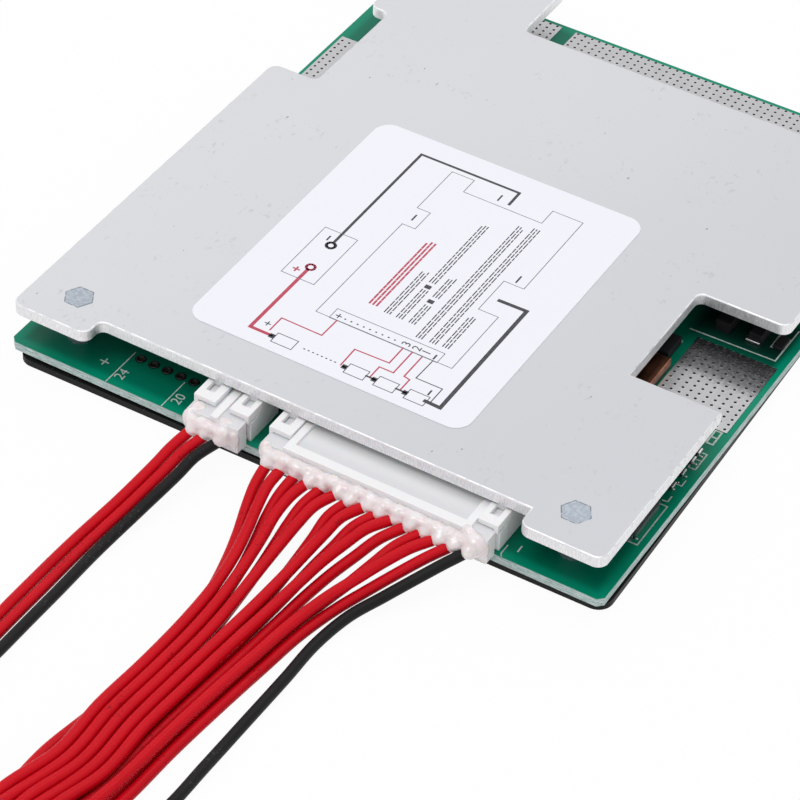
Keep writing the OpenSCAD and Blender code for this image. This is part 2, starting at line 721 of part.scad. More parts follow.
// A half ring about the origin, on the side that s gives
module half_ring(r, w, s) {
    difference() {
        circle(r + w / 2, $fn = 96);
        circle(r - w / 2, $fn = 96);
        translate([-r - w, s > 0 ? -r - w : 0]) square([2 * (r + w), r + w]);
    }
}

// A flat hank of lanes side by side, wound towards the side that dir gives
module hank(x, y, run, bend, step, w, lanes, dir, h) {
    color("#c8102a") translate([x, front_y + y, tie_t]) linear_extrude(h) {
        for (k = [0 : lanes - 1])
            translate([dir * lane_offset(k, bend, step) - w / 2, -run]) square([w, run]);
        for (k = [0 : lanes - 2])
            translate([dir * (lane_offset(k, bend, step) + lane_offset(k + 1, bend, step)) / 2,
                k % 2 == 0 ? -run : 0])
                half_ring(bend - k * step / 2, w, k % 2 == 0 ? -1 : 1);
    }
}

module hank_main() {
    hank(main_lane_x, main_hank_y, main_run, main_bend, main_lane_step, main_lane_w, 3, 1, main_hank_h);
}

module hank_small() {
    hank(small_lane_x, small_hank_y, small_run, small_bend, small_lane_step, small_lane_w, 4, -1, wire_d);
}

module tips_main() {
    color(tin) for (g = grid) translate([main_lane_x + lane_offset(2, main_bend, main_lane_step)
            + lane_pitch * (g[0] - (main_columns - 1) / 2),
            front_y + main_hank_y - main_run, lane_z + row_rise * g[1]])
        rotate([90, 0, 0]) cylinder(d = tip_d, h = tip_len, $fn = 16);
}

module tips_small() {
    color(tin) for (i = [-1, 0, 1]) translate([small_lane_x - lane_offset(3, small_bend, small_lane_step)
            + small_lane_pitch * i, front_y + small_hank_y, lane_z])
        rotate([-90, 0, 0]) cylinder(d = tip_d, h = tip_len, $fn = 16);
}

// A tie round two lanes of a hank
module tie(x, y, w, h) {
    color("white") translate([x, front_y + y, 0]) difference() {
        block([-tie_t, -tie_w / 2, 0], [w + 2 * tie_t, tie_w, h + 2 * tie_t]);
        block([0, -tie_w, tie_t], [w, 2 * tie_w, h]);
    }
}

module tie_main() {
    tie(main_lane_x - main_lane_w / 2, main_hank_y - main_run / 2, main_lane_w + main_lane_step, main_hank_h);
}

module tie_small() {
    tie(small_lane_x - small_lane_w / 2 - small_lane_step, small_hank_y - small_run / 2,
        small_lane_w + small_lane_step, wire_d);
}

module wire_main(i) {
    color(i == main_pins - 1 ? "#161618" : "#d01428") wire(main_points(i));
}

module wire_small(i) {
    color(i == small_pins - 1 ? "#161618" : "#d01428") wire(small_points(i));
}

circuit_board();
insulating_sheet();
foam_tape();
heat_spreader();
standoffs();
standoff_screws();
header(main_x, main_pins);  // header_main
header(small_x, small_pins);  // header_small
header_pins(main_x, main_pins);  // header_pins_main
header_pins(small_x, small_pins);  // header_pins_small
header_solder();
plug(main_x, main_pins);  // plug_main
plug(small_x, small_pins);  // plug_small
terminals(main_x, main_pins);  // terminals_main
terminals(small_x, small_pins);  // terminals_small
glue(main_x, main_pins);  // glue_main
glue(small_x, small_pins);  // glue_small
battery_pad();
output_pads();
side_pad();
copper_bar();
power_transistors();
transistor_tabs();
thermal_pads();
controller_chips();
chip_leads();
balance_resistors();
balance_transistors();
capacitors();
notch_parts();
edge_diodes();
edge_fuse();
edge_fuse_frame();
label();
wire_main(0);  // wire_main_1
wire_main(1);  // wire_main_2
wire_main(2);  // wire_main_3
wire_main(3);  // wire_main_4
wire_main(4);  // wire_main_5
wire_main(5);  // wire_main_6
wire_main(6);  // wire_main_7
wire_main(7);  // wire_main_8
wire_main(8);  // wire_main_9
wire_main(9);  // wire_main_10
wire_main(10);  // wire_main_11
wire_main(11);  // wire_main_12
wire_main(12);  // wire_main_13
wire_main(13);  // wire_main_14
wire_main(14);  // wire_main_15
wire_small(0);  // wire_small_1
wire_small(1);  // wire_small_2
wire_small(2);  // wire_small_3
hank_main();
hank_small();
tips_main();
tips_small();
tie_main();
tie_small();
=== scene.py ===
"""The battery management board, dressed: finishes, harness, glue, label print and board markings."""

import math

import bpy
from mathutils import Matrix, Vector


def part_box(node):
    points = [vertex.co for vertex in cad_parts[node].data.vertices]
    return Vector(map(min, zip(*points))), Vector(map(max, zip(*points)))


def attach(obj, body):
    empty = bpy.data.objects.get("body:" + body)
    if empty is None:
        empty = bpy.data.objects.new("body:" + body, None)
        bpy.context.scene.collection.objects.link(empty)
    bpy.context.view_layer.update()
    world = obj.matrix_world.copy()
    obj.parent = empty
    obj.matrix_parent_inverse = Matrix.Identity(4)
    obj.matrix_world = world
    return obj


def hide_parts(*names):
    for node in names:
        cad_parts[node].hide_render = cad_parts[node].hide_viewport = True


MM = 0.001
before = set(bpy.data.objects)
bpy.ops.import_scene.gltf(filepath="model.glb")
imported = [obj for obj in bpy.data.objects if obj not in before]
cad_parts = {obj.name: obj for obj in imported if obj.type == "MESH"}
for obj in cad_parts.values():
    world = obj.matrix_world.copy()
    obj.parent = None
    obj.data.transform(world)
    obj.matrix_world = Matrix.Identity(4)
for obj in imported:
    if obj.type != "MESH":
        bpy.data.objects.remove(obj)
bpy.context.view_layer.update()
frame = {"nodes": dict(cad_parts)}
nodes = frame["nodes"]

board_low, board_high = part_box("circuit_board")
plate_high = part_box("heat_spreader")[1]
label_low, label_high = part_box("label")
heads_low, heads_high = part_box("standoffs")
resistors_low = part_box("balance_resistors")[0]
front = board_low.y

# Heights and places in millimetres, measured across, from the board's front edge, and up
TOP = board_high.z / MM
LABEL_Z = label_low.z / MM
LABEL_TOP = label_high.z / MM
LIP_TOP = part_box("plug_main")[1].z / MM
LIP_HEIGHT = 0.6
BOARD_HALF = board_high.x / MM
BOARD_DEPTH = (board_high.y - front) / MM
BOARD_CORNER = 0.9
HEAD_FLATS = 4.5
PIN_Y = 7.4
SPARE_X = -33.2
SPARE_COUNT = 5
PITCH = 2.5

# The least difference in height that keeps two faces out of one plane
HAIR = 0.003

# Angles, in degrees, above which an edge is rounded or shaded as an edge
SHARP_EDGE = 35
CRISP_SHADING = 40
SOFT_SHADING = 60

# The middles of the four hexagon heads, which have corners on their left and right
HEAD_X = heads_high.x - HEAD_FLATS / 2 / math.cos(math.pi / 6) * MM
HEAD_Y = (heads_low.y + HEAD_FLATS / 2 * MM, heads_high.y - HEAD_FLATS / 2 * MM)
HEADS = [(side * HEAD_X, y) for side in (-1, 1) for y in HEAD_Y]


def at(x, y, z=0.0):
    """A place given in millimetres: across, from the front edge, and up."""
    return Vector((x * MM, front + y * MM, z * MM))


# ------------------------ modelling


def only(*objects):
    """Selects these objects and nothing else."""
    bpy.ops.object.select_all(action="DESELECT")
    for item in objects:
        item.select_set(True)
    if objects:
        bpy.context.view_layer.objects.active = objects[0]


def apply_modifiers(piece):
    """Makes each of a piece's modifiers part of its mesh."""
    only(piece)
    for modifier in list(piece.modifiers):
        bpy.ops.object.modifier_apply(modifier=modifier.name)


def finished(piece, name, material, smooth=None, flat_faces=False):
    """Puts a piece's place into its mesh, names it, gives it its finish and lets it ride on the board."""
    only(piece)
    bpy.ops.object.transform_apply(location=True, rotation=True, scale=True)
    piece.name = name
    piece.data.name = name
    piece.data.materials.clear()
    piece.data.materials.append(material)
    if smooth is not None:
        bpy.ops.object.shade_smooth_by_angle(angle=math.radians(smooth))
    if flat_faces:
        modifier = piece.modifiers.new("Even shading on the flat faces", "WEIGHTED_NORMAL")
        modifier.keep_sharp = True
        modifier.weight = 100
        apply_modifiers(piece)
    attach(piece, "root")
    return piece


def round_edges(piece, width, segments=2, chosen=None):
    """Rounds a piece's sharp edges, or those of them that a test on their two ends chooses."""
    only(piece)
    bpy.ops.object.mode_set(mode="EDIT")
    bpy.ops.mesh.select_mode(type="EDGE")
    bpy.ops.mesh.select_all(action="DESELECT")
    bpy.ops.mesh.edges_select_sharp(sharpness=math.radians(SHARP_EDGE))
    bpy.ops.object.mode_set(mode="OBJECT")
    # Marked corners and faces would bring back the edges between them
    mesh = piece.data
    for part in (*mesh.vertices, *mesh.polygons):
        part.select = False
    for edge in mesh.edges:
        if edge.select and chosen:
            a, b = (mesh.vertices[k].co for k in edge.vertices)
            edge.select = bool(chosen(a, b))
    bpy.ops.object.mode_set(mode="EDIT")
    bpy.ops.mesh.bevel(offset=width, segments=segments, affect="EDGES")
    bpy.ops.object.mode_set(mode="OBJECT")


def softened(node, width, material, segments=2, chosen=None):
    """A copy of a CAD node with rounded edges, which stands for it."""
    piece = nodes[node].copy()
    piece.data = nodes[node].data.copy()
    piece.parent = None
    for key in list(piece.keys()):
        if key.startswith("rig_"):
            del piece[key]
    bpy.context.scene.collection.objects.link(piece)
    only(piece)
    bpy.ops.object.mode_set(mode="EDIT")
    bpy.ops.mesh.select_all(action="SELECT")
    bpy.ops.mesh.remove_doubles(threshold=0.001 * MM)
    bpy.ops.mesh.dissolve_limited(angle_limit=math.radians(1))
    bpy.ops.object.mode_set(mode="OBJECT")
    round_edges(piece, width, segments, chosen)
    finished(piece, node + "_finished", material, smooth=CRISP_SHADING, flat_faces=True)
    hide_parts(node)
    return piece


def start_mesh(name):
    """An empty mesh object, open in edit mode, for primitives to be added to."""
    piece = bpy.data.objects.new(name, bpy.data.meshes.new(name))
    bpy.context.scene.collection.objects.link(piece)
    only(piece)
    bpy.ops.object.mode_set(mode="EDIT")
    return piece


def close_mesh():
    bpy.ops.object.mode_set(mode="OBJECT")


def add_bar(a, b, width, low, high):
    """Adds a bar from place a to place b, in plan, between two heights, to the mesh that is open."""
    run = Vector((b[0] - a[0], b[1] - a[1]))
    bpy.ops.mesh.primitive_cube_add(
        size=MM,
        location=at((a[0] + b[0]) / 2, (a[1] + b[1]) / 2, (low + high) / 2),
        rotation=(0, 0, math.atan2(run.y, run.x)),
        scale=(run.length + width, width, high - low),
    )


def add_path(path, width, low, high):
    """Adds bars along a path. Every second one is a hair lower, so that no two faces lie in one plane."""
    for k, (a, b) in enumerate(zip(path, path[1:])):
        add_bar(a, b, width, low, high - HAIR * (k % 2))


def add_lump(place, radii, turns=2):
    """Adds a rounded lump, with a radius along each axis, to the mesh that is open."""
    bpy.ops.mesh.primitive_ico_sphere_add(subdivisions=turns, radius=MM, location=at(*place), scale=radii)


def closed(points):
    return [*points, points[0]]


def rectangle(x0, y0, x1, y1):
    """The outline of a rectangle between two opposite corners."""
    return closed([(x0, y0), (x1, y0), (x1, y1), (x0, y1)])


def ring(x, y, radius, corners=20):
    """A circle, as a closed line with many corners."""
    turns = [2 * math.pi * k / corners for k in range(corners)]
    return closed([(x + radius * math.cos(t), y + radius * math.sin(t)) for t in turns])


def plus(x, y, size):
    """The two strokes of a plus sign."""
    return [[(x - size / 2, y), (x + size / 2, y)], [(x, y - size / 2), (x, y + size / 2)]]


def marks(name, groups, low, high, material):
    """One thin flat piece of lines, such as print. groups holds each width and the lines of that width."""
    piece = start_mesh(name)
    for width, paths in groups:
        for k, path in enumerate(paths):
            add_path(path, width, low, high - HAIR / 2 * (k % 2))
    close_mesh()
    return finished(piece, name, material)


# The part of a text's size that a digit's height takes
DIGIT_SHARE = 0.7


def numbers(name, items, low, high, material):
    """Plain numbers in one flat piece, each with its place and height, read from the right-hand side."""
    made = []
    for body, x, y, height in items:
        place = at(x, y, (low + high) / 2)
        bpy.ops.object.text_add(location=place, rotation=(0, 0, math.radians(90)))
        text = bpy.context.active_object
        text.data.body = body
        text.data.size = height / DIGIT_SHARE * MM
        text.data.extrude = (high - low) / 2 * MM
        text.data.resolution_u = 3
        text.data.align_x = "CENTER"
        text.data.align_y = "CENTER"
        only(text)
        bpy.ops.object.convert(target="MESH")
        made.append(text)
    only(*made)
    bpy.ops.object.join()
    return finished(bpy.context.active_object, name, material)


# ------------------------ shader maths


class Socket:
    """A value in a material that Python's operators work on."""

    def __init__(self, nodes, output):
        self.nodes = nodes
        self.output = output

    def maths(self, operation, *values, clamp=False):
        """The result of one Math node."""
        settings = {"operation": operation, "use_clamp": clamp}
        return self.nodes.node("ShaderNodeMath", settings, dict(enumerate(values)))

    def __add__(self, other):
        return self.maths("ADD", self, other)

    def __radd__(self, other):
        return self.maths("ADD", other, self)

    def __sub__(self, other):
        return self.maths("SUBTRACT", self, other)

    def __rsub__(self, other):
        return self.maths("SUBTRACT", other, self)

    def __mul__(self, other):
        return self.maths("MULTIPLY", self, other)

    def __rmul__(self, other):
        return self.maths("MULTIPLY", other, self)

    def __truediv__(self, other):
        return self.maths("DIVIDE", self, other)

    def __mod__(self, other):
        return self.maths("FLOORED_MODULO", self, other)

    def __abs__(self):
        return self.maths("ABSOLUTE", self)

    def limited(self):
        return self.maths("ADD", self, 0, clamp=True)

    def root(self):
        return self.maths("SQRT", self)

    def smallest(self, other):
        return self.maths("MINIMUM", self, other)

    def largest(self, other):
        return self.maths("MAXIMUM", self, other)

    def from_to(self, low, high):
        """0 below low, 1 above high, smooth between. It falls where low is above high."""
        settings = {"interpolation_type": "SMOOTHSTEP"}
        values = {"Value": self, "From Min": low, "From Max": high}
        return self.nodes.node("ShaderNodeMapRange", settings, values)


class Nodes:
    """A node tree. Every node in it is made by one method."""

    def __init__(self, tree):
        self.tree = tree

    def node(self, kind, settings, values, output=0):
        """Makes a node of a kind: its settings come first, then the values or links of its sockets."""
        made = self.tree.nodes.new(kind)
        for key, value in settings.items():
            setattr(made, key, value)
        for key, value in values.items():
            self.fill(made.inputs[key], value)
        return Socket(self, made.outputs[output]) if made.outputs else None

    def fill(self, socket, value):
        """Links a socket, or sets its value. A colour may leave out its fourth number."""
        if isinstance(value, Socket):
            self.tree.links.new(value.output, socket)
        elif isinstance(value, tuple) and len(socket.default_value) == 4:
            socket.default_value = (*value, 1)
        else:
            socket.default_value = value

    def seen(self):
        """1 for what is seen straight, through something or in a reflection, 0 for the light on an object."""
        rays = [
            self.node("ShaderNodeLightPath", {}, {}, name)
            for name in ("Is Camera Ray", "Is Transmission Ray", "Is Glossy Ray")
        ]
        return rays[0].largest(rays[1]).largest(rays[2])


class Finish(Nodes):
    """A procedural material, built from expressions on its object coordinates."""

    def __init__(self, name, roughness=0.5, metallic=0.0, **constants):
        self.material = bpy.data.materials.new(name)
        self.material.use_nodes = True
        super().__init__(self.material.node_tree)
        self.shader = self.tree.nodes["Principled BSDF"]
        self.fill(self.shader.inputs["Roughness"], roughness)
        self.fill(self.shader.inputs["Metallic"], metallic)
        for key, value in constants.items():
            self.fill(self.shader.inputs[key.replace("_", " ")], value)
        self.place = self.node("ShaderNodeTexCoord", {}, {}, "Object")

    def axes(self, vector):
        split = self.node("ShaderNodeSeparateXYZ", {}, {0: vector})
        return [Socket(self, item) for item in split.output.node.outputs]

    def measures(self):
        """Millimetres across, from the board's front edge, and up."""
        x, y, z = self.axes(self.place)
        return x / MM, (y - front) / MM, z / MM

    def stretched(self, x, y, z):
        """The object coordinates, scaled along each axis, for patterns that run one way."""
        return self.node(
            "ShaderNodeVectorMath", {"operation": "MULTIPLY"}, {0: self.place, 1: Vector((x, y, z))}
        )

    def noise(self, size, detail=2.0, where=None):
        """Soft noise from 0 to 1 with features of about a size in metres."""
        values = {"Vector": where or self.place, "Scale": 1 / size, "Detail": detail}
        return self.node("ShaderNodeTexNoise", {}, values)

    def cells(self, size):
        """The distance to the middle of each cell, for bubbles and foam."""
        return self.node("ShaderNodeTexVoronoi", {}, {"Vector": self.place, "Scale": 1 / size})

    def facing_up(self):
        """1 on level faces that look up, 0 on upright ones, -1 on those that look down."""
        return self.axes(self.node("ShaderNodeNewGeometry", {}, {}, "Normal"))[2]

    def mix(self, factor, low, high):
        """A colour between two, each a triple or a socket."""
        return self.node("ShaderNodeMix", {"data_type": "RGBA"}, {0: factor, 6: low, 7: high}, 2)

    def colour(self, value):
        self.fill(self.shader.inputs["Base Color"], value)

    def rough(self, value):
        self.fill(self.shader.inputs["Roughness"], value)

    def metal(self, value):
        self.fill(self.shader.inputs["Metallic"], value)

    def relief(self, height, depth, strength=1.0):
        """Bumps the surface by a height from 0 to 1 times a depth in metres."""
        values = {"Height": height, "Strength": strength, "Distance": depth}
        self.fill(self.shader.inputs["Normal"], self.node("ShaderNodeBump", {}, values))


# ------------------------ finishes


def aluminium():
    """Satin sheet: an even face with sparse scuffs and painted shade towards the front right, a rolled edge
    with a painted highlight and darker broken streaks, a streaked punched side with painted glints, and a
    painted dark underside.
    """
    finish = Finish("Satin aluminium", roughness=0.42, metallic=1.0)
    x, y = finish.measures()[:2]
    tilt = finish.facing_up()
    face = tilt.from_to(0.9, 0.995)
    side = tilt.from_to(0.6, 0.15)
    # Faces that look down are made dark: painted shade on the plate's underside
    below = tilt.from_to(-0.5, -0.9)
    clouds = finish.noise(30 * MM, 2)
    grain = finish.noise(0.3 * MM, 2)
    cluster = finish.noise(7 * MM, 2).from_to(0.5, 0.66)
    corner = finish.noise(3 * MM, 2).from_to(0.5, 0.62) * y.from_to(7, 1) * abs(x).from_to(44, 49)
    scuff = finish.noise(0.8 * MM, 2, finish.stretched(1, 0.6, 1)).from_to(0.6, 0.7)
    scuff = scuff * (cluster * 0.7 + corner).limited() * face
    nick = finish.noise(1.1 * MM, 1, finish.stretched(1.3, 0.7, 1)).from_to(0.79, 0.82) * face
    # Painted shade: the satin face is made darker towards the front right
    shade_to_front_right = (x - y * 0.5).from_to(-80, 50)
    satin = finish.mix(clouds, (0.605, 0.61, 0.635), (0.63, 0.635, 0.66))
    satin = finish.mix(shade_to_front_right * 0.9, satin, (0.515, 0.52, 0.545))
    satin = finish.mix(grain * 0.16, satin, (0.56, 0.57, 0.59))
    satin = finish.mix(scuff * 0.4, satin, (0.34, 0.34, 0.37))
    satin = finish.mix(nick * 0.75, satin, (0.22, 0.22, 0.24))
    # The rolled edge's lighter colour is a painted highlight; darker broken streaks run along it
    edge = tilt.from_to(0.999, 0.97) * tilt.from_to(0.55, 0.8)
    dark_streaks = finish.noise(1.5 * MM, 3).from_to(0.5, 0.6) * edge
    rolled = finish.mix(dark_streaks * 0.5, (0.80, 0.805, 0.82), (0.36, 0.36, 0.38))
    tab = abs(x).from_to(33, 36) * y.from_to(8, 3)
    streak = finish.noise(0.2 * MM, 2, finish.stretched(1, 1, 0.2)).from_to(0.38, 0.62)
    # Bright specks on the punched side are painted glints; the same noise also bumps that side
    sparkle = finish.noise(0.14 * MM, 2).from_to(0.4, 0.66)
    punched = finish.mix(sparkle * 0.5 + streak * 0.5, (0.74, 0.74, 0.76), (0.99, 0.99, 1.0))
    smooth_cut = finish.mix(streak, (0.76, 0.76, 0.78), (0.90, 0.90, 0.91))
    punched = finish.mix(tab * 0.65, punched, smooth_cut)
    colour = finish.mix(face, rolled, satin)
    colour = finish.mix(side, colour, punched)
    finish.colour(finish.mix(below, colour, (0.15, 0.155, 0.16)))
    finish.rough((0.42 + clouds * 0.06 + streak * side * 0.12 - scuff * 0.08).limited())
    finish.relief(grain * 0.25 + scuff * 0.5 + (streak + sparkle) * side * 0.8, 0.03 * MM, 0.5)
    return finish.material


def solder_mask():
    """Green mask, lighter near the board's edge and darker further in as painted light and shade, a painted
    dark patch at the back of the notch, painted dark discs round the spare holes, and the pale fibre of the
    cut edge.
    """
    finish = Finish("Green solder mask", roughness=0.3, Specular_IOR_Level=0.16)
    x, y, z = finish.measures()
    up = finish.facing_up().from_to(0.4, 0.8)
    sideways = BOARD_HALF - abs(x)
    endways = y.smallest(BOARD_DEPTH - y)
    inset = sideways.smallest(endways).smallest((sideways + endways - BOARD_CORNER) * 0.707)
    # Painted light and shade: the mask is lighter green within about 2 mm of the board's edge and darker
    # further in, under the plate; its border is also bumped a little
    inward = inset.from_to(0.7, 2.4)
    weave = finish.noise(0.35 * MM, 2)
    clouds = finish.noise(5 * MM, 2)
    mask = finish.mix(inward, (0.0, 0.28, 0.16), (0.0, 0.16, 0.09))
    mask = finish.mix(weave * 0.25 + clouds * 0.2, mask, (0.0, 0.19, 0.12))
    # Painted shade: the mask is made near black at the back of the notch, under the plate's edge
    notch_back_shade = y.from_to(58, 64) * y.from_to(74, 70) * x.from_to(34, 37)
    mask = finish.mix(notch_back_shade * inward * 0.9, mask, (0.003, 0.015, 0.012))
    across = (x - SPARE_X + PITCH / 2) % PITCH - PITCH / 2
    along = y - PIN_Y
    middle = SPARE_X + (SPARE_COUNT - 1) * PITCH / 2
    half_row = SPARE_COUNT * PITCH / 2
    row = abs(x - middle).from_to(half_row, half_row - 0.05)
    # Painted dark reflection: a near-black disc round each spare hole, for the plate above seen in its tinned
    # ring
    hole_dark_disc = (across * across + along * along).root().from_to(0.98, 0.9) * row
    mask = finish.mix(hole_dark_disc, mask, (0.012, 0.011, 0.009))
    layers = finish.noise(0.35 * MM, 3, finish.stretched(0.18, 0.18, 3.2)).from_to(0.35, 0.65)
    specks = finish.noise(0.3 * MM, 2).from_to(0.6, 0.7)
    cut = finish.mix(layers, (0.30, 0.43, 0.41), (0.66, 0.76, 0.75))
    cut = finish.mix(specks * 0.5, cut, (0.10, 0.17, 0.15))
    cut = finish.mix(z.from_to(TOP - 0.16, TOP - 0.06), cut, (0.02, 0.26, 0.17))
    wall = finish.mix(weave, (0.03, 0.027, 0.02), (0.09, 0.08, 0.06))
    finish.colour(finish.mix(up, finish.mix(inset.from_to(0.1, 0.2), cut, wall), mask))
    finish.rough(0.55 - up * 0.28 + weave * 0.06)
    finish.relief(inward + weave * 0.15 + layers * (1 - up), 0.03 * MM, 0.4)
    return finish.material


def black_sheet():
    """Black sheet with a faint sheen and dust."""
    finish = Finish("Black insulating sheet", roughness=0.45, Specular_IOR_Level=0.12)
    grain = finish.noise(0.5 * MM, 3)
    dust = finish.noise(0.35 * MM, 1).from_to(0.68, 0.74)
    body = finish.mix(grain, (0.006, 0.007, 0.007), (0.013, 0.015, 0.014))
    finish.colour(finish.mix(dust * 0.4, body, (0.10, 0.11, 0.10)))
    finish.rough(0.36 + grain * 0.2)
    finish.relief(grain, 0.02 * MM, 0.5)
    return finish.material


def foam():
    """Open foam with small cells."""
    finish = Finish("Black foam tape", roughness=0.95, Specular_IOR_Level=0.2)
    cell = finish.cells(0.35 * MM)
    finish.colour(finish.mix(cell, (0.006, 0.006, 0.006), (0.02, 0.02, 0.02)))
    finish.relief(cell, 0.08 * MM, 0.8)
    return finish.material


def plated_steel():
    """Dull zinc, mottled, with a broken dark line round each flush hexagon head."""
    finish = Finish("Zinc plated steel", roughness=0.45, metallic=1.0)
    x, y = finish.measures()[:2]
    up = finish.facing_up().from_to(0.8, 0.95)
    flats = HEAD_FLATS / 2
    across = abs(abs(x) - HEAD_X / MM)
    along = abs(y - (HEAD_Y[0] - front) / MM).smallest(abs(y - (HEAD_Y[1] - front) / MM))
    reach = along.largest(across * 0.866 + along * 0.5)
    broken = finish.noise(0.9 * MM, 1).from_to(0.36, 0.5)
    outline = reach.from_to(flats - 0.26, flats - 0.1) * broken * up
    grain = finish.noise(0.16 * MM, 2)
    spots = finish.noise(0.55 * MM, 3).from_to(0.42, 0.6)
    zinc = finish.mix(spots, (0.37, 0.41, 0.465), (0.46, 0.50, 0.555))
    zinc = finish.mix(grain * 0.35, zinc, (0.28, 0.31, 0.36))
    finish.colour(finish.mix(outline * 0.75, zinc, (0.12, 0.13, 0.14)))
    finish.rough(0.36 + grain * 0.2)
    finish.relief(grain + spots * 0.5, 0.02 * MM, 0.5)
    return finish.material


def nylon(name="White nylon", shaded_below=None):
    """Moulded natural nylon: nearly white and a little milky, with painted shade on a level face recessed
    below a height, strongest towards its front.
    """
    finish = Finish(name, roughness=0.36, Subsurface_Weight=0.15, Subsurface_Scale=0.5 * MM)
    flow = finish.noise(3.5 * MM, 2, finish.stretched(0.5, 1, 1))
    grain = finish.noise(0.3 * MM, 2)
    body = finish.mix(flow, (0.87, 0.87, 0.885), (0.93, 0.93, 0.94))
    if shaded_below:
        y, z = finish.measures()[1:]
        # Painted shade on the recessed level face below the lip, strongest near the lip at its front
        recess_shade = z.from_to(shaded_below, shaded_below - 0.15) * finish.facing_up().from_to(0.9, 0.98)
        recess_shade = recess_shade * (0.25 + y.from_to(3, 0) * 0.75)
        body = finish.mix(recess_shade, body, (0.73, 0.73, 0.755))
    finish.colour(body)
    finish.rough(0.3 + grain * 0.14)
    finish.relief(grain * 0.5 + flow * 0.5, 0.03 * MM, 0.35)
    return finish.material


def hot_glue():
    """Milky, glossy glue with a faint pink cast, painted red light from the wires in and under it, and small
    bubbles.
    """
    finish = Finish(
        "Hot glue",
        roughness=0.14,
        Subsurface_Weight=0.25,
        Subsurface_Scale=0.9 * MM,
        Specular_IOR_Level=0.6,
        Coat_Weight=0.6,
        Coat_Roughness=0.05,
    )
    cloud = finish.noise(1.4 * MM, 3)
    bubble = finish.cells(0.5 * MM).from_to(0.24, 0.12)
    speck = finish.noise(0.35 * MM, 1).from_to(0.78, 0.8)
    # The pink of the body colour is painted red light from the wires
    body = finish.mix(cloud.from_to(0.4, 0.66), (0.83, 0.74, 0.75), (0.87, 0.83, 0.84))
    body = finish.mix(bubble * 0.3, body, (0.95, 0.93, 0.92))
    finish.colour(finish.mix(speck * 0.5, body, (0.25, 0.12, 0.10)))
    finish.rough(0.08 + cloud * 0.16)
    finish.relief(cloud + bubble * 0.25, 0.12 * MM, 0.5)
    return finish.material


def insulation(name, dark, light, print_colour):
    """Extruded insulation with a soft sheen and rubbed flecks of print along it."""
    finish = Finish(name, roughness=0.42, Specular_IOR_Level=0.14)
    band = finish.noise(7 * MM, 2)
    grain = finish.noise(0.4 * MM, 2, finish.stretched(1, 0.3, 1))
    up = finish.facing_up().from_to(0.2, 0.6)
    ink = finish.noise(0.5 * MM, 1, finish.stretched(1.2, 1, 1)).from_to(0.6, 0.7)
    word = finish.noise(8 * MM, 1, finish.stretched(1.6, 0.7, 1)).from_to(0.58, 0.64)
    body = finish.mix(band, dark, light)
    finish.colour(finish.mix(ink * word * up * 0.5, body, print_colour))
    finish.rough(0.36 + grain * 0.14)
    finish.relief(grain, 0.02 * MM, 0.4)
    return finish.material


def tinned(name="Bright tin", vias=None, shade=1.0, shade_from=None):
    """Levelled tin, slightly uneven. It can be darkened by a shade factor, and have a grid of open holes and
    painted shade on the part behind a line.
    """
    finish = Finish(name, roughness=0.3, metallic=1.0)
    x, y = finish.measures()[:2]
    pool = finish.noise(2.4 * MM, 3)
    grain = finish.noise(0.28 * MM, 3)
    low = tuple(shade * part for part in (0.46, 0.455, 0.465))
    high = tuple(shade * part for part in (0.56, 0.555, 0.57))
    colour = finish.mix(pool, low, high)
    colour = finish.mix(grain * 0.35, colour, tuple(shade * part for part in (0.33, 0.33, 0.35)))
    back_shade = 0.0
    # Painted shade, mottled, on the part behind the line, where the plate's edge above shades the pad and is
    # seen dark in it
    if shade_from:
        mottled = finish.noise(0.5 * MM, 3).from_to(0.35, 0.65)
        back_shade = (y + mottled * 1.4).from_to(shade_from, shade_from + 3.2)
        shade_colour = finish.mix(mottled, (0.07, 0.07, 0.075), (0.20, 0.20, 0.21))
        colour = finish.mix(back_shade * 0.85, colour, shade_colour)
    roughness = 0.22 + grain * 0.2 + pool * 0.1
    height = pool * 0.5 + grain * 0.3
    if vias:
        across = (x - vias[0] + VIA_STEP_X / 2) % VIA_STEP_X - VIA_STEP_X / 2
        along = (y - vias[1] + VIA_STEP_Y / 2) % VIA_STEP_Y - VIA_STEP_Y / 2
        gap = (across * across + along * along).root()
        hole = gap.from_to(VIA_RADIUS * 1.15, VIA_RADIUS * 0.85)
        rim = gap.from_to(VIA_RADIUS * 1.9, VIA_RADIUS * 1.2)
        colour = finish.mix(rim * (0.25 - back_shade * 0.22), colour, (0.72, 0.72, 0.73))
        colour = finish.mix(hole, colour, (0.01, 0.01, 0.01))
        roughness = roughness + hole * 0.5
        height = height + rim * 0.4 - hole * 2
        finish.metal(1 - hole)
    finish.colour(colour)
    finish.rough(roughness.limited())
    finish.relief(height, 0.05 * MM, 0.5)
    return finish.material


def plated_brass():
    """Tin over brass that shows through a little."""
    finish = Finish("Tinned brass", roughness=0.3, metallic=1.0)
    grain = finish.noise(0.5 * MM, 2)
    finish.colour(finish.mix(grain, (0.66, 0.60, 0.42), (0.78, 0.74, 0.6)))
    finish.rough(0.24 + grain * 0.2)
    return finish.material


def copper():
    """Drawn copper, darkened all over by painted shade."""
    finish = Finish("Bare copper", roughness=0.32, metallic=1.0)
    drawn = finish.noise(0.5 * MM, 2, finish.stretched(1, 0.05, 1))
    blotches = finish.noise(2.5 * MM, 3).from_to(0.35, 0.65)
    # Both colours are dark: painted shade, for the bar lying in the plate's shade
    body = finish.mix(blotches, (0.15, 0.055, 0.035), (0.34, 0.14, 0.08))
    finish.colour(finish.mix(drawn * 0.35, body, (0.55, 0.27, 0.17)))
    finish.rough(0.24 + drawn * 0.2)
    finish.relief(drawn, 0.03 * MM, 0.5)
    return finish.material


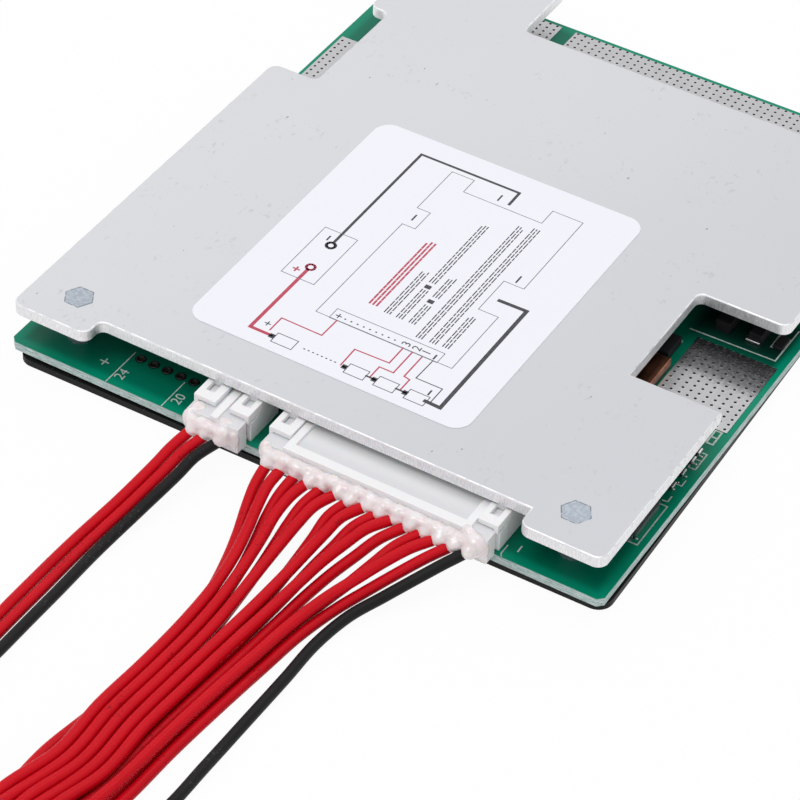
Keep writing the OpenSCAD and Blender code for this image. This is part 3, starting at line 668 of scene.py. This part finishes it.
def resin():
    """Black moulding resin with a fine matt texture."""
    finish = Finish("Black moulding resin", roughness=0.5, Specular_IOR_Level=0.18)
    grain = finish.noise(0.18 * MM, 3)
    finish.colour(finish.mix(grain, (0.008, 0.008, 0.009), (0.024, 0.024, 0.026)))
    finish.rough(0.42 + grain * 0.25)
    finish.relief(grain, 0.03 * MM, 0.6)
    return finish.material


def with_tinned_ends(name, middle, half, step=None):
    """A black glazed part with tin beyond half a length, across, on each part of a row."""
    finish = Finish(name, roughness=0.3)
    x = finish.measures()[0]
    across = abs((x - middle + step / 2) % step - step / 2) if step else abs(x - middle)
    end = across.from_to(half - 0.03, half + 0.03)
    grain = finish.noise(0.3 * MM, 2)
    glaze = finish.mix(grain, (0.012, 0.012, 0.014), (0.035, 0.035, 0.04))
    finish.colour(finish.mix(end, glaze, finish.mix(grain, (0.55, 0.55, 0.56), (0.72, 0.72, 0.73))))
    finish.rough(0.24 + grain * 0.2)
    finish.metal(end)
    finish.relief(grain + end, 0.03 * MM, 0.5)
    return finish.material


def ceramic():
    """Fired brown ceramic."""
    finish = Finish("Fired ceramic", roughness=0.45)
    grain = finish.noise(0.25 * MM, 3)
    finish.colour(finish.mix(grain, (0.30, 0.20, 0.13), (0.47, 0.35, 0.24)))
    finish.rough(0.4 + grain * 0.2)
    return finish.material


def silicone():
    """Grey filled silicone."""
    finish = Finish("Grey silicone pad", roughness=0.8)
    grain = finish.noise(0.4 * MM, 3)
    finish.colour(finish.mix(grain, (0.20, 0.23, 0.26), (0.30, 0.33, 0.36)))
    finish.relief(grain, 0.05 * MM, 0.6)
    return finish.material


def label_film():
    """Smooth white film with a cool cast."""
    finish = Finish("White label film", roughness=0.35)
    fibre = finish.noise(0.6 * MM, 3)
    finish.colour(finish.mix(fibre, (0.885, 0.888, 0.955), (0.905, 0.908, 0.972)))
    finish.rough(0.32 + fibre * 0.08)
    finish.relief(fibre, 0.01 * MM, 0.3)
    return finish.material


def ink(name, dark, light):
    """Printed ink, a little uneven."""
    finish = Finish(name, roughness=0.5, Specular_IOR_Level=0.3)
    patch = finish.noise(0.5 * MM, 3)
    finish.colour(finish.mix(patch.from_to(0.35, 0.65), dark, light))
    finish.rough(0.42 + patch * 0.14)
    return finish.material


VIA_STEP_X = 1.42
VIA_STEP_Y = 1.31
VIA_RADIUS = 0.25
VIA_MARGIN = 0.65
# Depth at the back of the battery pad that gets painted shade
SHADED_DEPTH = 8.5


def via_tin(name, node, shaded_depth=None):
    """Tin with a grid of holes that starts at a pad's corner, with painted shade on the given depth at the
    back.
    """
    corner, far_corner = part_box(node)
    shade_from = (far_corner.y - front) / MM - shaded_depth if shaded_depth else None
    first_via = (corner.x / MM + VIA_MARGIN, (corner.y - front) / MM + VIA_MARGIN)
    return tinned(name, first_via, shade_from=shade_from)


ALUMINIUM = aluminium()
MASK = solder_mask()
SHEET = black_sheet()
FOAM = foam()
STEEL = plated_steel()
NYLON = nylon()
# The plug's nylon, with painted shade on its recessed face below the lip
PLUG_NYLON = nylon("White plug nylon", LIP_TOP - LIP_HEIGHT / 2)
GLUE = hot_glue()
RED_PVC = insulation("Red insulation", (0.55, 0.001, 0.008), (0.65, 0.003, 0.014), (0.10, 0.0, 0.003))
BLACK_PVC = insulation("Black insulation", (0.006, 0.006, 0.007), (0.014, 0.014, 0.015), (0.06, 0.06, 0.06))
TIN = tinned()
BRASS = plated_brass()
COPPER = copper()
RESIN = resin()
RESISTOR = with_tinned_ends("Chip resistors", resistors_low.x / MM + 1.6, 1.2, 4)
DIODE = with_tinned_ends("Glass diodes", BOARD_HALF - 3, 0.62)
CERAMIC = ceramic()
SILICONE = silicone()
FILM = label_film()
BLACK_INK = ink("Black ink", (0.045, 0.045, 0.052), (0.075, 0.075, 0.085))
GREY_INK = ink("Thin grey ink", (0.14, 0.14, 0.16), (0.22, 0.22, 0.25))
RED_INK = ink("Red ink", (0.47, 0.06, 0.10), (0.58, 0.085, 0.135))
MARKING = ink("Pale board marking", (0.42, 0.50, 0.46), (0.60, 0.68, 0.64))


# ------------------------ camera, floor and light


def make_camera():
    """A long lens, from the front right and above."""
    data = bpy.data.cameras.new("Camera")
    data.lens = 144.17
    data.sensor_width = 36
    data.clip_start = 0.02
    data.clip_end = 20
    camera = bpy.data.objects.new("Camera", data)
    bpy.context.scene.collection.objects.link(camera)
    back = Vector((0.359466, -0.651640, 0.667944))
    right = Vector((0.857863, 0.512452, 0.038268))
    up = Vector((-0.367227, 0.559248, 0.743227))
    place = Matrix((right, up, back)).transposed().to_4x4()
    place.translation = Vector((184.887, -365.161, 336.196)) * MM
    camera.matrix_world = place
    bpy.context.scene.camera = camera


def make_floor():
    """A pale floor that the camera and the metal see as white, with a soft shadow on it."""
    bpy.ops.mesh.primitive_plane_add(size=6, location=(0, 0, -0.05 * MM))
    floor = bpy.context.active_object
    floor.name = "Floor"
    finish = Finish("Pale floor", roughness=0.9)
    finish.colour((0.9, 0.9, 0.9))
    plain = Socket(finish, finish.shader.outputs[0])
    glow = finish.node("ShaderNodeEmission", {}, {"Strength": 1.0})
    shown = finish.node("ShaderNodeMixShader", {}, {0: finish.seen() * 0.95, 1: plain, 2: glow})
    finish.fill(finish.tree.nodes["Material Output"].inputs["Surface"], shown)
    floor.data.materials.append(finish.material)


def make_world():
    """A plain white room: seen as white, and lighting the object softly from all round."""
    world = bpy.data.worlds.new("Studio")
    bpy.context.scene.world = world
    world.use_nodes = True
    world.node_tree.nodes.clear()
    room = Nodes(world.node_tree)
    light = room.node("ShaderNodeBackground", {}, {"Color": (1.0, 1.0, 1.0), "Strength": 0.68})
    white = room.node("ShaderNodeBackground", {}, {"Color": (1.0, 1.0, 1.0), "Strength": 1.0})
    shown = room.node("ShaderNodeMixShader", {}, {0: room.seen(), 1: light, 2: white})
    room.node("ShaderNodeOutputWorld", {}, {"Surface": shown})


def make_softbox(name, place, size, power):
    """A square lamp that looks at the board."""
    data = bpy.data.lights.new(name, "AREA")
    data.shape = "SQUARE"
    data.size = size
    data.energy = power
    lamp = bpy.data.objects.new(name, data)
    bpy.context.scene.collection.objects.link(lamp)
    lamp.location = place
    lamp.rotation_euler = (-Vector(place)).to_track_quat("-Z", "Y").to_euler()


make_camera()
make_floor()
make_world()
make_softbox("High softbox", (-0.15, -0.5, 1.2), 0.6, 3.6)
make_softbox("Back softbox", (0.1, 0.5, 1.25), 0.6, 2.2)
make_softbox("Left softbox", (-1.0, 0.75, 0.9), 1.2, 0.8)

# ------------------------ harness

WIRE_D = 1.8
# From the left end of a header to its first wire
FIRST_WIRE = 2.45
MAIN_PIN = -4.7 + FIRST_WIRE
SMALL_PIN = -18.3 + FIRST_WIRE
MAIN_COUNT = 15
SMALL_COUNT = 3
PLUG_OUT = 2.5
PLUG_FACE = -PLUG_OUT
EXIT_RUN = 1.0
WIRE_Z = 6.0

# Each row of a route holds where the wires are across, at one distance in front of the board
STATIONS = [-8, -12, -16, -21, -28, -36, -46, -56, -66, -76, -88]
MAIN_ROUTE = [
    [-1.9, 0.3, 2.4, 4.4, 6.5, 8.5, 11, 13.1, 15.3, 17.5, 19.8, 22.6, 25, 27.5, 30.2],
    [-1, 1, 2.6, 4.2, 6.2, 8, 10.8, 12.5, 14.3, 16.1, 18, 21, 22.9, 24.9, 27.6],
    [0.2, 1.9, 3.3, 4.6, 6.3, 7.7, 10.6, 11.9, 13.4, 14.8, 16.4, 19.6, 21, 22.6, 25.2],
    [1.5, 2.9, 4.2, 5.1, 6.6, 7.6, 10.5, 11.4, 12.8, 13.9, 15.2, 18, 19, 20.3, 22.7],
    [2.9, 3.7, 5, 5.7, 7, 7.8, 10.2, 10.8, 12.2, 13, 14.3, 16.4, 17.2, 18.4, 21.3],
    [3.6, 3.9, 5.5, 5.9, 7.4, 7.9, 9.8, 10.1, 11.7, 12.1, 13.6, 15.5, 16.1, 17.4, 21.2],
    [3, 3.6, 4.9, 5.5, 6.8, 7.4, 8.7, 9.3, 10.6, 11.3, 12.5, 14.4, 14.9, 16.3, 21],
    [2.1, 2.9, 4, 4.8, 5.9, 6.7, 7.8, 8.7, 9.7, 10.6, 11.6, 13.5, 14, 15.4, 20.8],
    [0.6, 3.1, 3.5, 5, 5.4, 6.9, 7.3, 8.8, 9.2, 10.7, 11.1, 13, 13.3, 14.9, 20.5],
    [0.6, 0.6, 2.5, 2.5, 4.4, 4.4, 6.3, 6.3, 8.2, 8.2, 10.1, 12, 12, 13.9, 18.4],
    [0.6, 0.6, 2.5, 2.5, 4.4, 4.4, 6.3, 6.3, 8.2, 8.2, 10.1, 12, 12, 13.9, 14],
]
# Heights at the stations, of the wires on the ground and of those that ride on them
LYING_Z = [5, 3.6, 2.4, 1.5, 1, 0.9, 0.9, 0.9, 0.9, 0.9, 1.1]
RIDING_Z = [5.8, 5.1, 4.2, 3.5, 3, 2.8, 2.8, 2.8, 2.8, 2.8, 3]
RIDERS = (1, 3, 5, 7, 9, 12)
# Each main wire's column and row in the hank
GRID = [(column, row) for column, rows in enumerate((4, 4, 3, 3, 1)) for row in range(rows)]
SMALL_STATIONS = [-8, -12, -20, -30, -40, -52]
SMALL_ROUTE = [
    [-16.9, -14.8, -12.7],
    [-17.5, -15.5, -13.4],
    [-18.5, -16.6, -14.6],
    [-19.9, -17.9, -15.8],
    [-20.3, -18.2, -16],
    [-20.3, -18.3, -16.1],
]
SMALL_Z = [5, 3.9, 2.5, 1.2, 0.9, 0.9]
LANE_Z = 1.3
ROW_RISE = 1.9
COLUMN_STEP = 1.9
SMALL_STEP = 2
LANE_LEAD = 3
HALF_TURN_STEPS = 14


class Hank:
    """The wound part of a harness: straight runs side by side, joined by half turns."""

    def __init__(self, x, y, run, bend, step, lanes, way):
        self.x, self.y, self.run, self.bend, self.step = x, y, run, bend, step
        self.lanes, self.way = lanes, way

    def offset(self, lane):
        """How far a lane lies from the first one."""
        return lane / 2 * self.step if lane % 2 == 0 else 2 * self.bend - (lane - 1) / 2 * self.step

    def path(self, aside, height):
        """The way of a wire that runs aside of the middle of its lane."""
        points = []
        for lane in range(self.lanes):
            side = aside if lane % 2 == 0 else -aside
            x = self.x + self.way * self.offset(lane) + side
            ends = (0, -self.run) if lane % 2 == 0 else (-self.run, 0)
            points += [(x, self.y + ends[0] + (ends[1] - ends[0]) * k / 4, height) for k in range(5)]
            if lane < self.lanes - 1:
                middle = self.x + self.way * (self.offset(lane) + self.offset(lane + 1)) / 2
                radius = x - middle
                down = -1 if lane % 2 == 0 else 1
                for k in range(1, HALF_TURN_STEPS):
                    turn = math.pi * k / HALF_TURN_STEPS
                    across = middle + radius * math.cos(turn)
                    along = self.y + ends[1] + down * abs(radius) * math.sin(turn)
                    points.append((across, along, height))
        return points


def smooth(points, steps=7):
    """More points on a centripetal curve through the given ones."""
    points = [Vector(p) for p in points]
    ends = [2 * points[0] - points[1], *points, 2 * points[-1] - points[-2]]
    curve = []
    for p0, p1, p2, p3 in zip(ends, ends[1:], ends[2:], ends[3:]):
        t1 = (p1 - p0).length ** 0.5
        t2 = t1 + (p2 - p1).length ** 0.5
        t3 = t2 + (p3 - p2).length ** 0.5
        for step in range(steps):
            t = t1 + (t2 - t1) * step / steps
            a1 = p0 * (t1 - t) / t1 + p1 * t / t1
            a2 = p1 * (t2 - t) / (t2 - t1) + p2 * (t - t1) / (t2 - t1)
            a3 = p2 * (t3 - t) / (t3 - t2) + p3 * (t - t2) / (t3 - t2)
            b1 = a1 * (t2 - t) / t2 + a2 * t / t2
            b2 = a2 * (t3 - t) / (t3 - t1) + a3 * (t - t1) / (t3 - t1)
            curve.append(b1 * (t2 - t) / (t2 - t1) + b2 * (t - t1) / (t2 - t1))
    return [*curve, points[-1]]


def make_wire(name, route, turns, material, solids):
    """One wire, as a round tube along its route and then its turns, and nowhere under the ground."""
    path = smooth(route + turns[:1]) + [Vector(p) for p in turns[1:]]
    path = [at(x, y, max(z, WIRE_D / 2)) for x, y, z in path]
    curve = bpy.data.curves.new(name, "CURVE")
    curve.dimensions = "3D"
    curve.bevel_depth = WIRE_D / 2 * MM
    curve.bevel_resolution = 4
    curve.use_fill_caps = True
    spline = curve.splines.new("POLY")
    spline.points.add(len(path) - 1)
    for point, place in zip(spline.points, path):
        point.co = (*place, 1)
    spline.use_smooth = True
    wire = bpy.data.objects.new(name, curve)
    bpy.context.scene.collection.objects.link(wire)
    curve.materials.append(material)
    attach(wire, "root")
    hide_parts(*solids)


def leave_plug(x):
    """The start of a wire, straight out of its plug."""
    return [(x, PLUG_FACE, WIRE_Z), (x, PLUG_FACE - EXIT_RUN, WIRE_Z)]


def main_route(i):
    """The way of a wire from the wide plug to its hank."""
    points = leave_plug(MAIN_PIN + i * PITCH)
    for k, y in enumerate(STATIONS):
        last = k == len(STATIONS) - 1
        heights = RIDING_Z if i in RIDERS else LYING_Z
        z = LYING_Z[k] + ROW_RISE * GRID[i][1] if last else heights[k]
        points.append((MAIN_ROUTE[k][i], y, z))
    return points


def small_route(i):
    """The way of a wire from the small plug to its hank."""
    points = leave_plug(SMALL_PIN + i * PITCH)
    return points + [(row[i], y, z) for row, y, z in zip(SMALL_ROUTE, SMALL_STATIONS, SMALL_Z)]


def lay_wires(which, hank, route, places):
    """The wires of one harness: red, with a black last one, each to its own place in the hank."""
    for i, (aside, height) in enumerate(places):
        first = i == 0
        last = i == len(places) - 1
        lead = (hank.x + aside, hank.y + LANE_LEAD, height)
        make_wire(
            f"{which}_wire_{i + 1}",
            route(i) + [lead],
            hank.path(aside, height),
            BLACK_PVC if last else RED_PVC,
            [f"wire_{which}_{i + 1}"] + ([f"hank_{which}"] if first else []),
        )


MAIN_HANK = Hank(x=7.2, y=-100, run=36, bend=17, step=9.6, lanes=3, way=1)
SMALL_HANK = Hank(x=-18, y=-66, run=30, bend=15.3, step=5.9, lanes=4, way=-1)
MAIN_PLACES = [(COLUMN_STEP * (column - 2), LANE_Z + ROW_RISE * row) for column, row in GRID]
SMALL_PLACES = [(SMALL_STEP * (i - 1), LANE_Z) for i in range(SMALL_COUNT)]
lay_wires("main", MAIN_HANK, main_route, MAIN_PLACES)
lay_wires("small", SMALL_HANK, small_route, SMALL_PLACES)

# ------------------------ finishes of the frame's own nodes

FINISHES = {
    "circuit_board": MASK,
    "insulating_sheet": SHEET,
    "foam_tape": FOAM,
    "standoffs": STEEL,
    "standoff_screws": STEEL,
    "header_pins_main": BRASS,
    "header_pins_small": BRASS,
    "header_solder": TIN,
    "terminals_main": BRASS,
    "terminals_small": BRASS,
    "battery_pad": via_tin("Battery pad tin", "battery_pad", SHADED_DEPTH),
    "output_pads": via_tin("Output pad tin", "output_pads"),
    "side_pad": via_tin("Side pad tin", "side_pad"),
    "transistor_tabs": TIN,
    "thermal_pads": SILICONE,
    "chip_leads": TIN,
    "edge_fuse_frame": TIN,
    "tips_main": TIN,
    "tips_small": TIN,
}
SOFTENED = {
    "header_main": (0.1, NYLON, "white_nylon"),
    "header_small": (0.1, NYLON, "white_nylon"),
    "plug_main": (0.1, PLUG_NYLON, "white_nylon"),
    "plug_small": (0.1, PLUG_NYLON, "white_nylon"),
    "tie_main": (0.3, NYLON, "white_nylon"),
    "tie_small": (0.3, NYLON, "white_nylon"),
    "copper_bar": (0.2, COPPER, "bare_copper"),
    "power_transistors": (0.12, RESIN, "black_resin"),
    "controller_chips": (0.1, RESIN, "black_resin"),
    "balance_resistors": (0.08, RESISTOR, "black_resin"),
    "balance_transistors": (0.08, RESIN, "black_resin"),
    "capacitors": (0.1, CERAMIC, "brown_ceramic"),
    "notch_parts": (0.12, RESIN, "black_resin"),
    "edge_diodes": (0.1, DIODE, "black_resin"),
    "edge_fuse": (0.15, RESIN, "black_resin"),
}

# How far the edges of a hexagon head's seat reach from its middle, and the plate's rounding
SEAT_REACH = 3.2
PLATE_ROUNDING = 0.3


def outer_top_edge(a, b):
    """The plate's upper outline, but not the seats of the flush hexagon heads."""
    level = min(a.z, b.z) > plate_high.z - 0.01 * MM
    return level and all(math.hypot(a.x - x, a.y - y) > SEAT_REACH * MM for x, y in HEADS)


for node, material in FINISHES.items():
    nodes[node].data.materials.clear()
    nodes[node].data.materials.append(material)
for node, (width, material, slot) in SOFTENED.items():
    softened(node, width * MM, material)
softened("heat_spreader", PLATE_ROUNDING * MM, ALUMINIUM, 3, outer_top_edge)

# ------------------------ glue

RIDGE_STEP = 1.25
GLUE_CELL = 0.2


def wander(k, size):
    """A number that changes from lump to lump, within a size."""
    return size * math.sin(12.9 * k + 4.1 * math.sin(7.3 * k))


def glue_lumps(which, first, pins, more):
    """Glue over the wire exits: a lump at each wire, webs between them, and a ridge on the plug's edge."""
    piece = start_mesh(f"glue_{which}_lumps")
    for i in range(pins):
        x = first + i * PITCH
        radii = (1.5, 2.45 + wander(i, 0.3), 1.45 + wander(i + 9, 0.1))
        add_lump((x + wander(i + 3, 0.2), PLUG_FACE - 0.75, WIRE_Z + 0.35), radii, 3)
        if i:
            radii = (0.9, 1.7 + wander(i, 0.3), 1.8)
            add_lump((x - PITCH / 2, PLUG_FACE - 0.4, WIRE_Z - 0.2), radii)
    steps = int((pins - 1) * PITCH / RIDGE_STEP) + 1
    for k in range(steps):
        x = first + k * RIDGE_STEP + wander(k + 20, 0.3)
        y = PLUG_FACE - 0.95 + wander(k, 0.15)
        size = 0.7 + wander(k + 31, 0.2)
        add_lump((x, y, LIP_TOP - 1.3), (1.5, size + 0.4, size + 0.1))
    for place, radii in more:
        add_lump(place, radii, 3)
    close_mesh()
    clouds = bpy.data.textures.new("Glue unevenness", "CLOUDS")
    clouds.noise_scale = 1.9 * MM
    run = piece.modifiers.new("Run together", "REMESH")
    run.mode = "VOXEL"
    run.voxel_size = GLUE_CELL * MM
    soft = piece.modifiers.new("Surface tension", "SMOOTH")
    soft.factor = 0.5
    soft.iterations = 22
    uneven = piece.modifiers.new("Unevenness", "DISPLACE")
    uneven.texture = clouds
    uneven.texture_coords = "LOCAL"
    uneven.strength = 0.28 * MM
    uneven.mid_level = 0.5
    apply_modifiers(piece)
    finished(piece, f"glue_{which}_lumps", GLUE, smooth=SOFT_SHADING)
    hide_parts(f"glue_{which}")


glue_lumps(
    "main",
    MAIN_PIN,
    MAIN_COUNT,
    [
        ((-3.6, PLUG_FACE, 6.9), (1.3, 1.0, 1.7)),
        ((-3.9, PLUG_FACE, 5.2), (0.8, 0.7, 1.9)),
        ((32.9, PLUG_FACE - 0.5, 7.0), (2.0, 1.7, 1.7)),
        ((34.2, PLUG_FACE - 0.1, 6.0), (1.1, 1.1, 2.0)),
        ((34.7, PLUG_FACE - 0.1, 4.5), (0.6, 0.6, 1.3)),
        ((31.4, PLUG_FACE + 0.3, LIP_TOP - 0.3), (1.2, 0.9, 0.6)),
    ],
)
glue_lumps(
    "small",
    SMALL_PIN,
    SMALL_COUNT,
    [
        ((-17.4, PLUG_FACE, 6.4), (1.2, 1.1, 2.1)),
        ((-17.6, -1.2, 6.3), (0.8, 1.3, 1.9)),
        ((-16.6, -1.0, 7.9), (1.4, 1.2, 0.6)),
        ((-17.8, PLUG_FACE + 0.4, 4.7), (0.6, 0.9, 1.4)),
        ((-9.3, PLUG_FACE, 5.8), (0.9, 0.8, 1.9)),
        ((-11.5, -1.6, 7.9), (1.6, 0.9, 0.5)),
    ],
)

# ------------------------ label and its print

SHEET_TOP = LABEL_TOP - 0.015
INK_LOW = SHEET_TOP - 0.02
INK_TOP = LABEL_TOP - 0.004
LABEL_CORNER = 3.0
LABEL_EDGE = 0.04
LEAST_DASH = 0.55
DASH_SPREAD = 0.9
DASH_GAP = 0.42


def make_label():
    """A rounded film whose edge is pressed down."""
    size = label_high - label_low
    middle = (label_low + label_high) / 2
    depth = (SHEET_TOP - LABEL_Z) * MM
    bpy.ops.mesh.primitive_cube_add(size=1, location=(middle.x, middle.y, label_low.z + depth / 2))
    piece = bpy.context.active_object
    piece.scale = (size.x, size.y, depth)
    only(piece)
    bpy.ops.object.transform_apply(location=True, rotation=True, scale=True)
    round_edges(piece, LABEL_CORNER * MM, 12, lambda a, b: abs(a.z - b.z) > depth / 2)
    round_edges(piece, LABEL_EDGE * MM, 2, lambda a, b: min(a.z, b.z) > label_low.z + depth / 2)
    finished(piece, "label_film", FILM, smooth=CRISP_SHADING, flat_faces=True)
    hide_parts("label")


def dashes(x, y0, y1, height, kind):
    """A row of short dashes on three lines, where the label carries a line of print."""
    paths = []
    for line in range(3):
        y = y0
        k = kind * 7 + line * 3
        while y < y1 - 0.3:
            length = LEAST_DASH + abs(wander(k, DASH_SPREAD))
            end = min(y + length, y1)
            place = x + height * (0.38 - 0.38 * line)
            paths.append([(place, y), (place, end)])
            y = end + DASH_GAP
            k += 1
    return paths


# The wiring sketch, as widths and lines, in millimetres across and from the front edge
CELL_ROWS = (14.3, 16.6)
CELLS_X = [(-13.6, -9.9), (-0.45, 3.0), (4.85, 8.3), (10.25, 13.7)]
BLACK_LINES = [
    (0.5, [ring(-18.1, 39.3, 0.72), [(-18.1, 40.2), (-18.1, 67.9), (0.55, 67.9), (0.6, 64.4)]]),
    (0.7, [[(13.5, 15.5), (16.15, 15.4), (16.13, 42.4), (11.3, 42.3)]]),
    (0.3, [[(-19.4, 40.2), (-19.4, 41.2)], [(-10.6, 52.1), (-10.6, 53.5)], [(-1.5, 64.3), (-1.5, 65.7)]]),
    (0.3, [[(11.25, 47.7), (11.25, 49.3)], [(13.1, 17), (13.1, 18)], [(9.6, 24.6), (9.6, 25.5)]]),
    (0.2, plus(-7.9, 25.2, 0.9) + plus(-16.2, 17.6, 0.9)),
    (0.35, [[(x - 0.2, 15.45), (x + 0.2, 15.45)] for x in (-14.3, -0.95, 4.4, 9.9)]),
    (0.9, [[(x, 15.4), (x, 15.5)] for x in (-14.1, -0.9, 4.45, 9.95)]),
    (0.35, [[(3.0, 15.5), (4.2, 15.5)], [(8.3, 15.5), (9.6, 15.5)]]),
    (0.18, [[(9.76, 24), (9.62, 19.26), (14.29, 19.3), (14.29, 15.8)]]),
    (0.14, [rectangle(x0, CELL_ROWS[0], x1, CELL_ROWS[1]) for x0, x1 in CELLS_X]),
    (0.22, [[(-8.3 + 0.8 * k, 15.6), (-8.2 + 0.8 * k, 15.6)] for k in range(8)]),
    (0.26, [[(-6.7 + 1.13 * k, 25.1), (-6.65 + 1.13 * k, 25.1)] for k in range(9)]),
    (0.9, [[(0.05, 38.95), (0.25, 38.95)], [(2.23, 36.1), (2.43, 36.1)]]),
]
PRINT_ROWS = [(-2, 30, 42), (0.2, 30, 38), (0.2, 40.2, 57.3), (2.5, 30, 35), (2.5, 37.4, 43)]
PRINT_ROWS += [(5.2, 27.6, 60.2), (7.6, 27.7, 61.1), (9.8, 27.9, 36.5)]
GREY_LINES = [
    (0.13, [rectangle(-21.3, 29.5, -15.2, 42.8), rectangle(-9, 24.1, 10.5, 26.6)]),
    (
        0.13,
        [
            [
                (-11.5, 24.2), (-11.4, 50.4), (-9, 50.4), (-9, 55.3), (-11.5, 55.3), (-11.5, 66.7),
                (-7.3, 66.7), (-7.3, 63.1), (7.4, 63), (7.4, 66.8), (13, 66.8), (13.1, 46.9),
                (9.5, 46.9), (9.5, 38.7), (13.1, 38.7), (13.1, 24.2), (-11.5, 24.2),
            ]
        ],
    ),
]
RED_LINES = [
    (0.45, [ring(-17.9, 32.9, 0.7)]),
    (0.62, [[(-18, 32), (-18.1, 15.5), (-13.9, 15.5)]]),
    (0.25, [[(-7.6, 24), (-7.7, 19.8), (-15.1, 19.9), (-15.1, 16.5)]]),
    (0.25, [[(4.4, 24.2), (4.4, 20), (-1.7, 19.8), (-1.6, 15.5)]]),
    (0.25, [[(6.1, 24), (6.1, 18.4), (3.6, 18.4), (3.6, 15.7)]]),
    (0.25, [[(7.9, 23.9), (7.9, 18.6), (9, 18.4), (9, 15.6)]]),
    (0.3, plus(-19.6, 31.3, 1.0)),
    (0.34, dashes(-4.9, 30.6, 48.8, 1.7, 1)),
]

make_label()
rows = [path for k, (x, y0, y1) in enumerate(PRINT_ROWS) for path in dashes(x, y0, y1, 1.3, k)]
marks("label_black_print", BLACK_LINES + [(0.2, rows)], INK_LOW, INK_TOP, BLACK_INK)
marks("label_grey_print", GREY_LINES, INK_LOW, INK_TOP - 0.001, GREY_INK)
marks("label_red_print", RED_LINES, INK_LOW, INK_TOP - 0.002, RED_INK)
LABEL_NUMBERS = [("3", 4.4, 25.3, 1.5), ("2", 6.3, 25.3, 1.5), ("1", 8.0, 25.3, 1.5)]
numbers("label_numbers", LABEL_NUMBERS, INK_LOW, INK_TOP, BLACK_INK)

# ------------------------ board markings and small joints

MARK_LOW = TOP - 0.02
MARK_TOP = TOP + 0.02
BOARD_LINES = [
    (0.2, [
        [(-34.8, 8.2), (-34.8, 0.1)],
        [(-24.4, 6.5), (-24.4, 0.1)],
        [(35.7, 2.6), (35.7, 0.6), (36, 0.1)],
    ]),
    (0.24, plus(-37.6, 3.8, 1.4) + [[(37.6, 2.3), (37.6, 3.5)], [(36.3, 57), (36.3, 58.4)]]),
    (0.24, [[(36, 61.8), (50.9, 62.2), (51, 70.8)], rectangle(48.8, 64.9, 50.9, 68.1)]),
    (0.24, [rectangle(50.5, 34.8, 51.7, 36.6), rectangle(50.5, 32.6, 51.7, 34.8)]),
    (0.3, [rectangle(50.3, 39.1, 51.4, 42.3), [(50.3, 40.7), (51.4, 40.7)]]),
    (0.22, [[(50.6, 23.9), (51.4, 24), (51.4, 25.3)], rectangle(49.5, 13.2, 51.85, 23)]),
    (0.22, [[(50.5, 28.2), (51.6, 28.2), (51.6, 29.6)]]),
]
marks("board_lines", BOARD_LINES, MARK_LOW, MARK_TOP, MARKING)
BOARD_NUMBERS = [("24", -33.6, 2.8, 1.7), ("20", -23, 2.8, 1.7)]
numbers("board_numbers", BOARD_NUMBERS, MARK_LOW, MARK_TOP, MARKING)

RIM_RADIUS = 0.64
RIM_THICKNESS = 0.2


def make_hole_rims():
    """A thin raised rim of tin round each spare hole, made near black: painted dark reflection."""
    piece = start_mesh("spare_hole_rims")
    for k in range(SPARE_COUNT):
        bpy.ops.mesh.primitive_torus_add(
            location=at(SPARE_X + k * PITCH, PIN_Y, TOP),
            major_radius=RIM_RADIUS * MM,
            minor_radius=RIM_THICKNESS / 2 * MM,
            major_segments=28,
            minor_segments=8,
        )
    close_mesh()
    finished(piece, "spare_hole_rims", SHADED_TIN, smooth=SOFT_SHADING)


def make_joints():
    """Small heaps of solder at the ends of the parts along the right edge and in the notch."""
    piece = start_mesh("edge_joints")
    for x, y, length in SOLDER_JOINTS:
        add_lump((x, y, TOP + 0.04), (length, 0.18, 0.16))
    close_mesh()
    finished(piece, "edge_joints", TIN, smooth=SOFT_SHADING)


def make_leg():
    """The flat soldered leg in the notch."""
    piece = start_mesh("notch_leg")
    bpy.ops.mesh.primitive_cube_add(size=MM, location=at(45.9, 66.1, TOP + 0.3), scale=(2.6, 4.4, 0.6))
    close_mesh()
    round_edges(piece, 0.2 * MM, 3)
    finished(piece, "notch_leg", TIN, smooth=CRISP_SHADING, flat_faces=True)


# Tin darkened to near black for the spare hole rims: painted dark reflection of the plate above
SHADED_TIN = tinned("Shaded tin", None, 0.14)
SOLDER_JOINTS = [(50.9, 26.9, 0.24), (50.8, 28.6, 0.2), (51.2, 30.4, 0.24), (51.1, 35.7, 0.4)]
SOLDER_JOINTS += [(51.1, 33.7, 0.4), (51.1, 14.3, 0.35), (49.4, 65.4, 0.4), (50.4, 65.5, 0.35)]
make_hole_rims()
make_joints()
make_leg()

# ------------------------ closing

bpy.context.scene.view_settings.view_transform = "Standard"
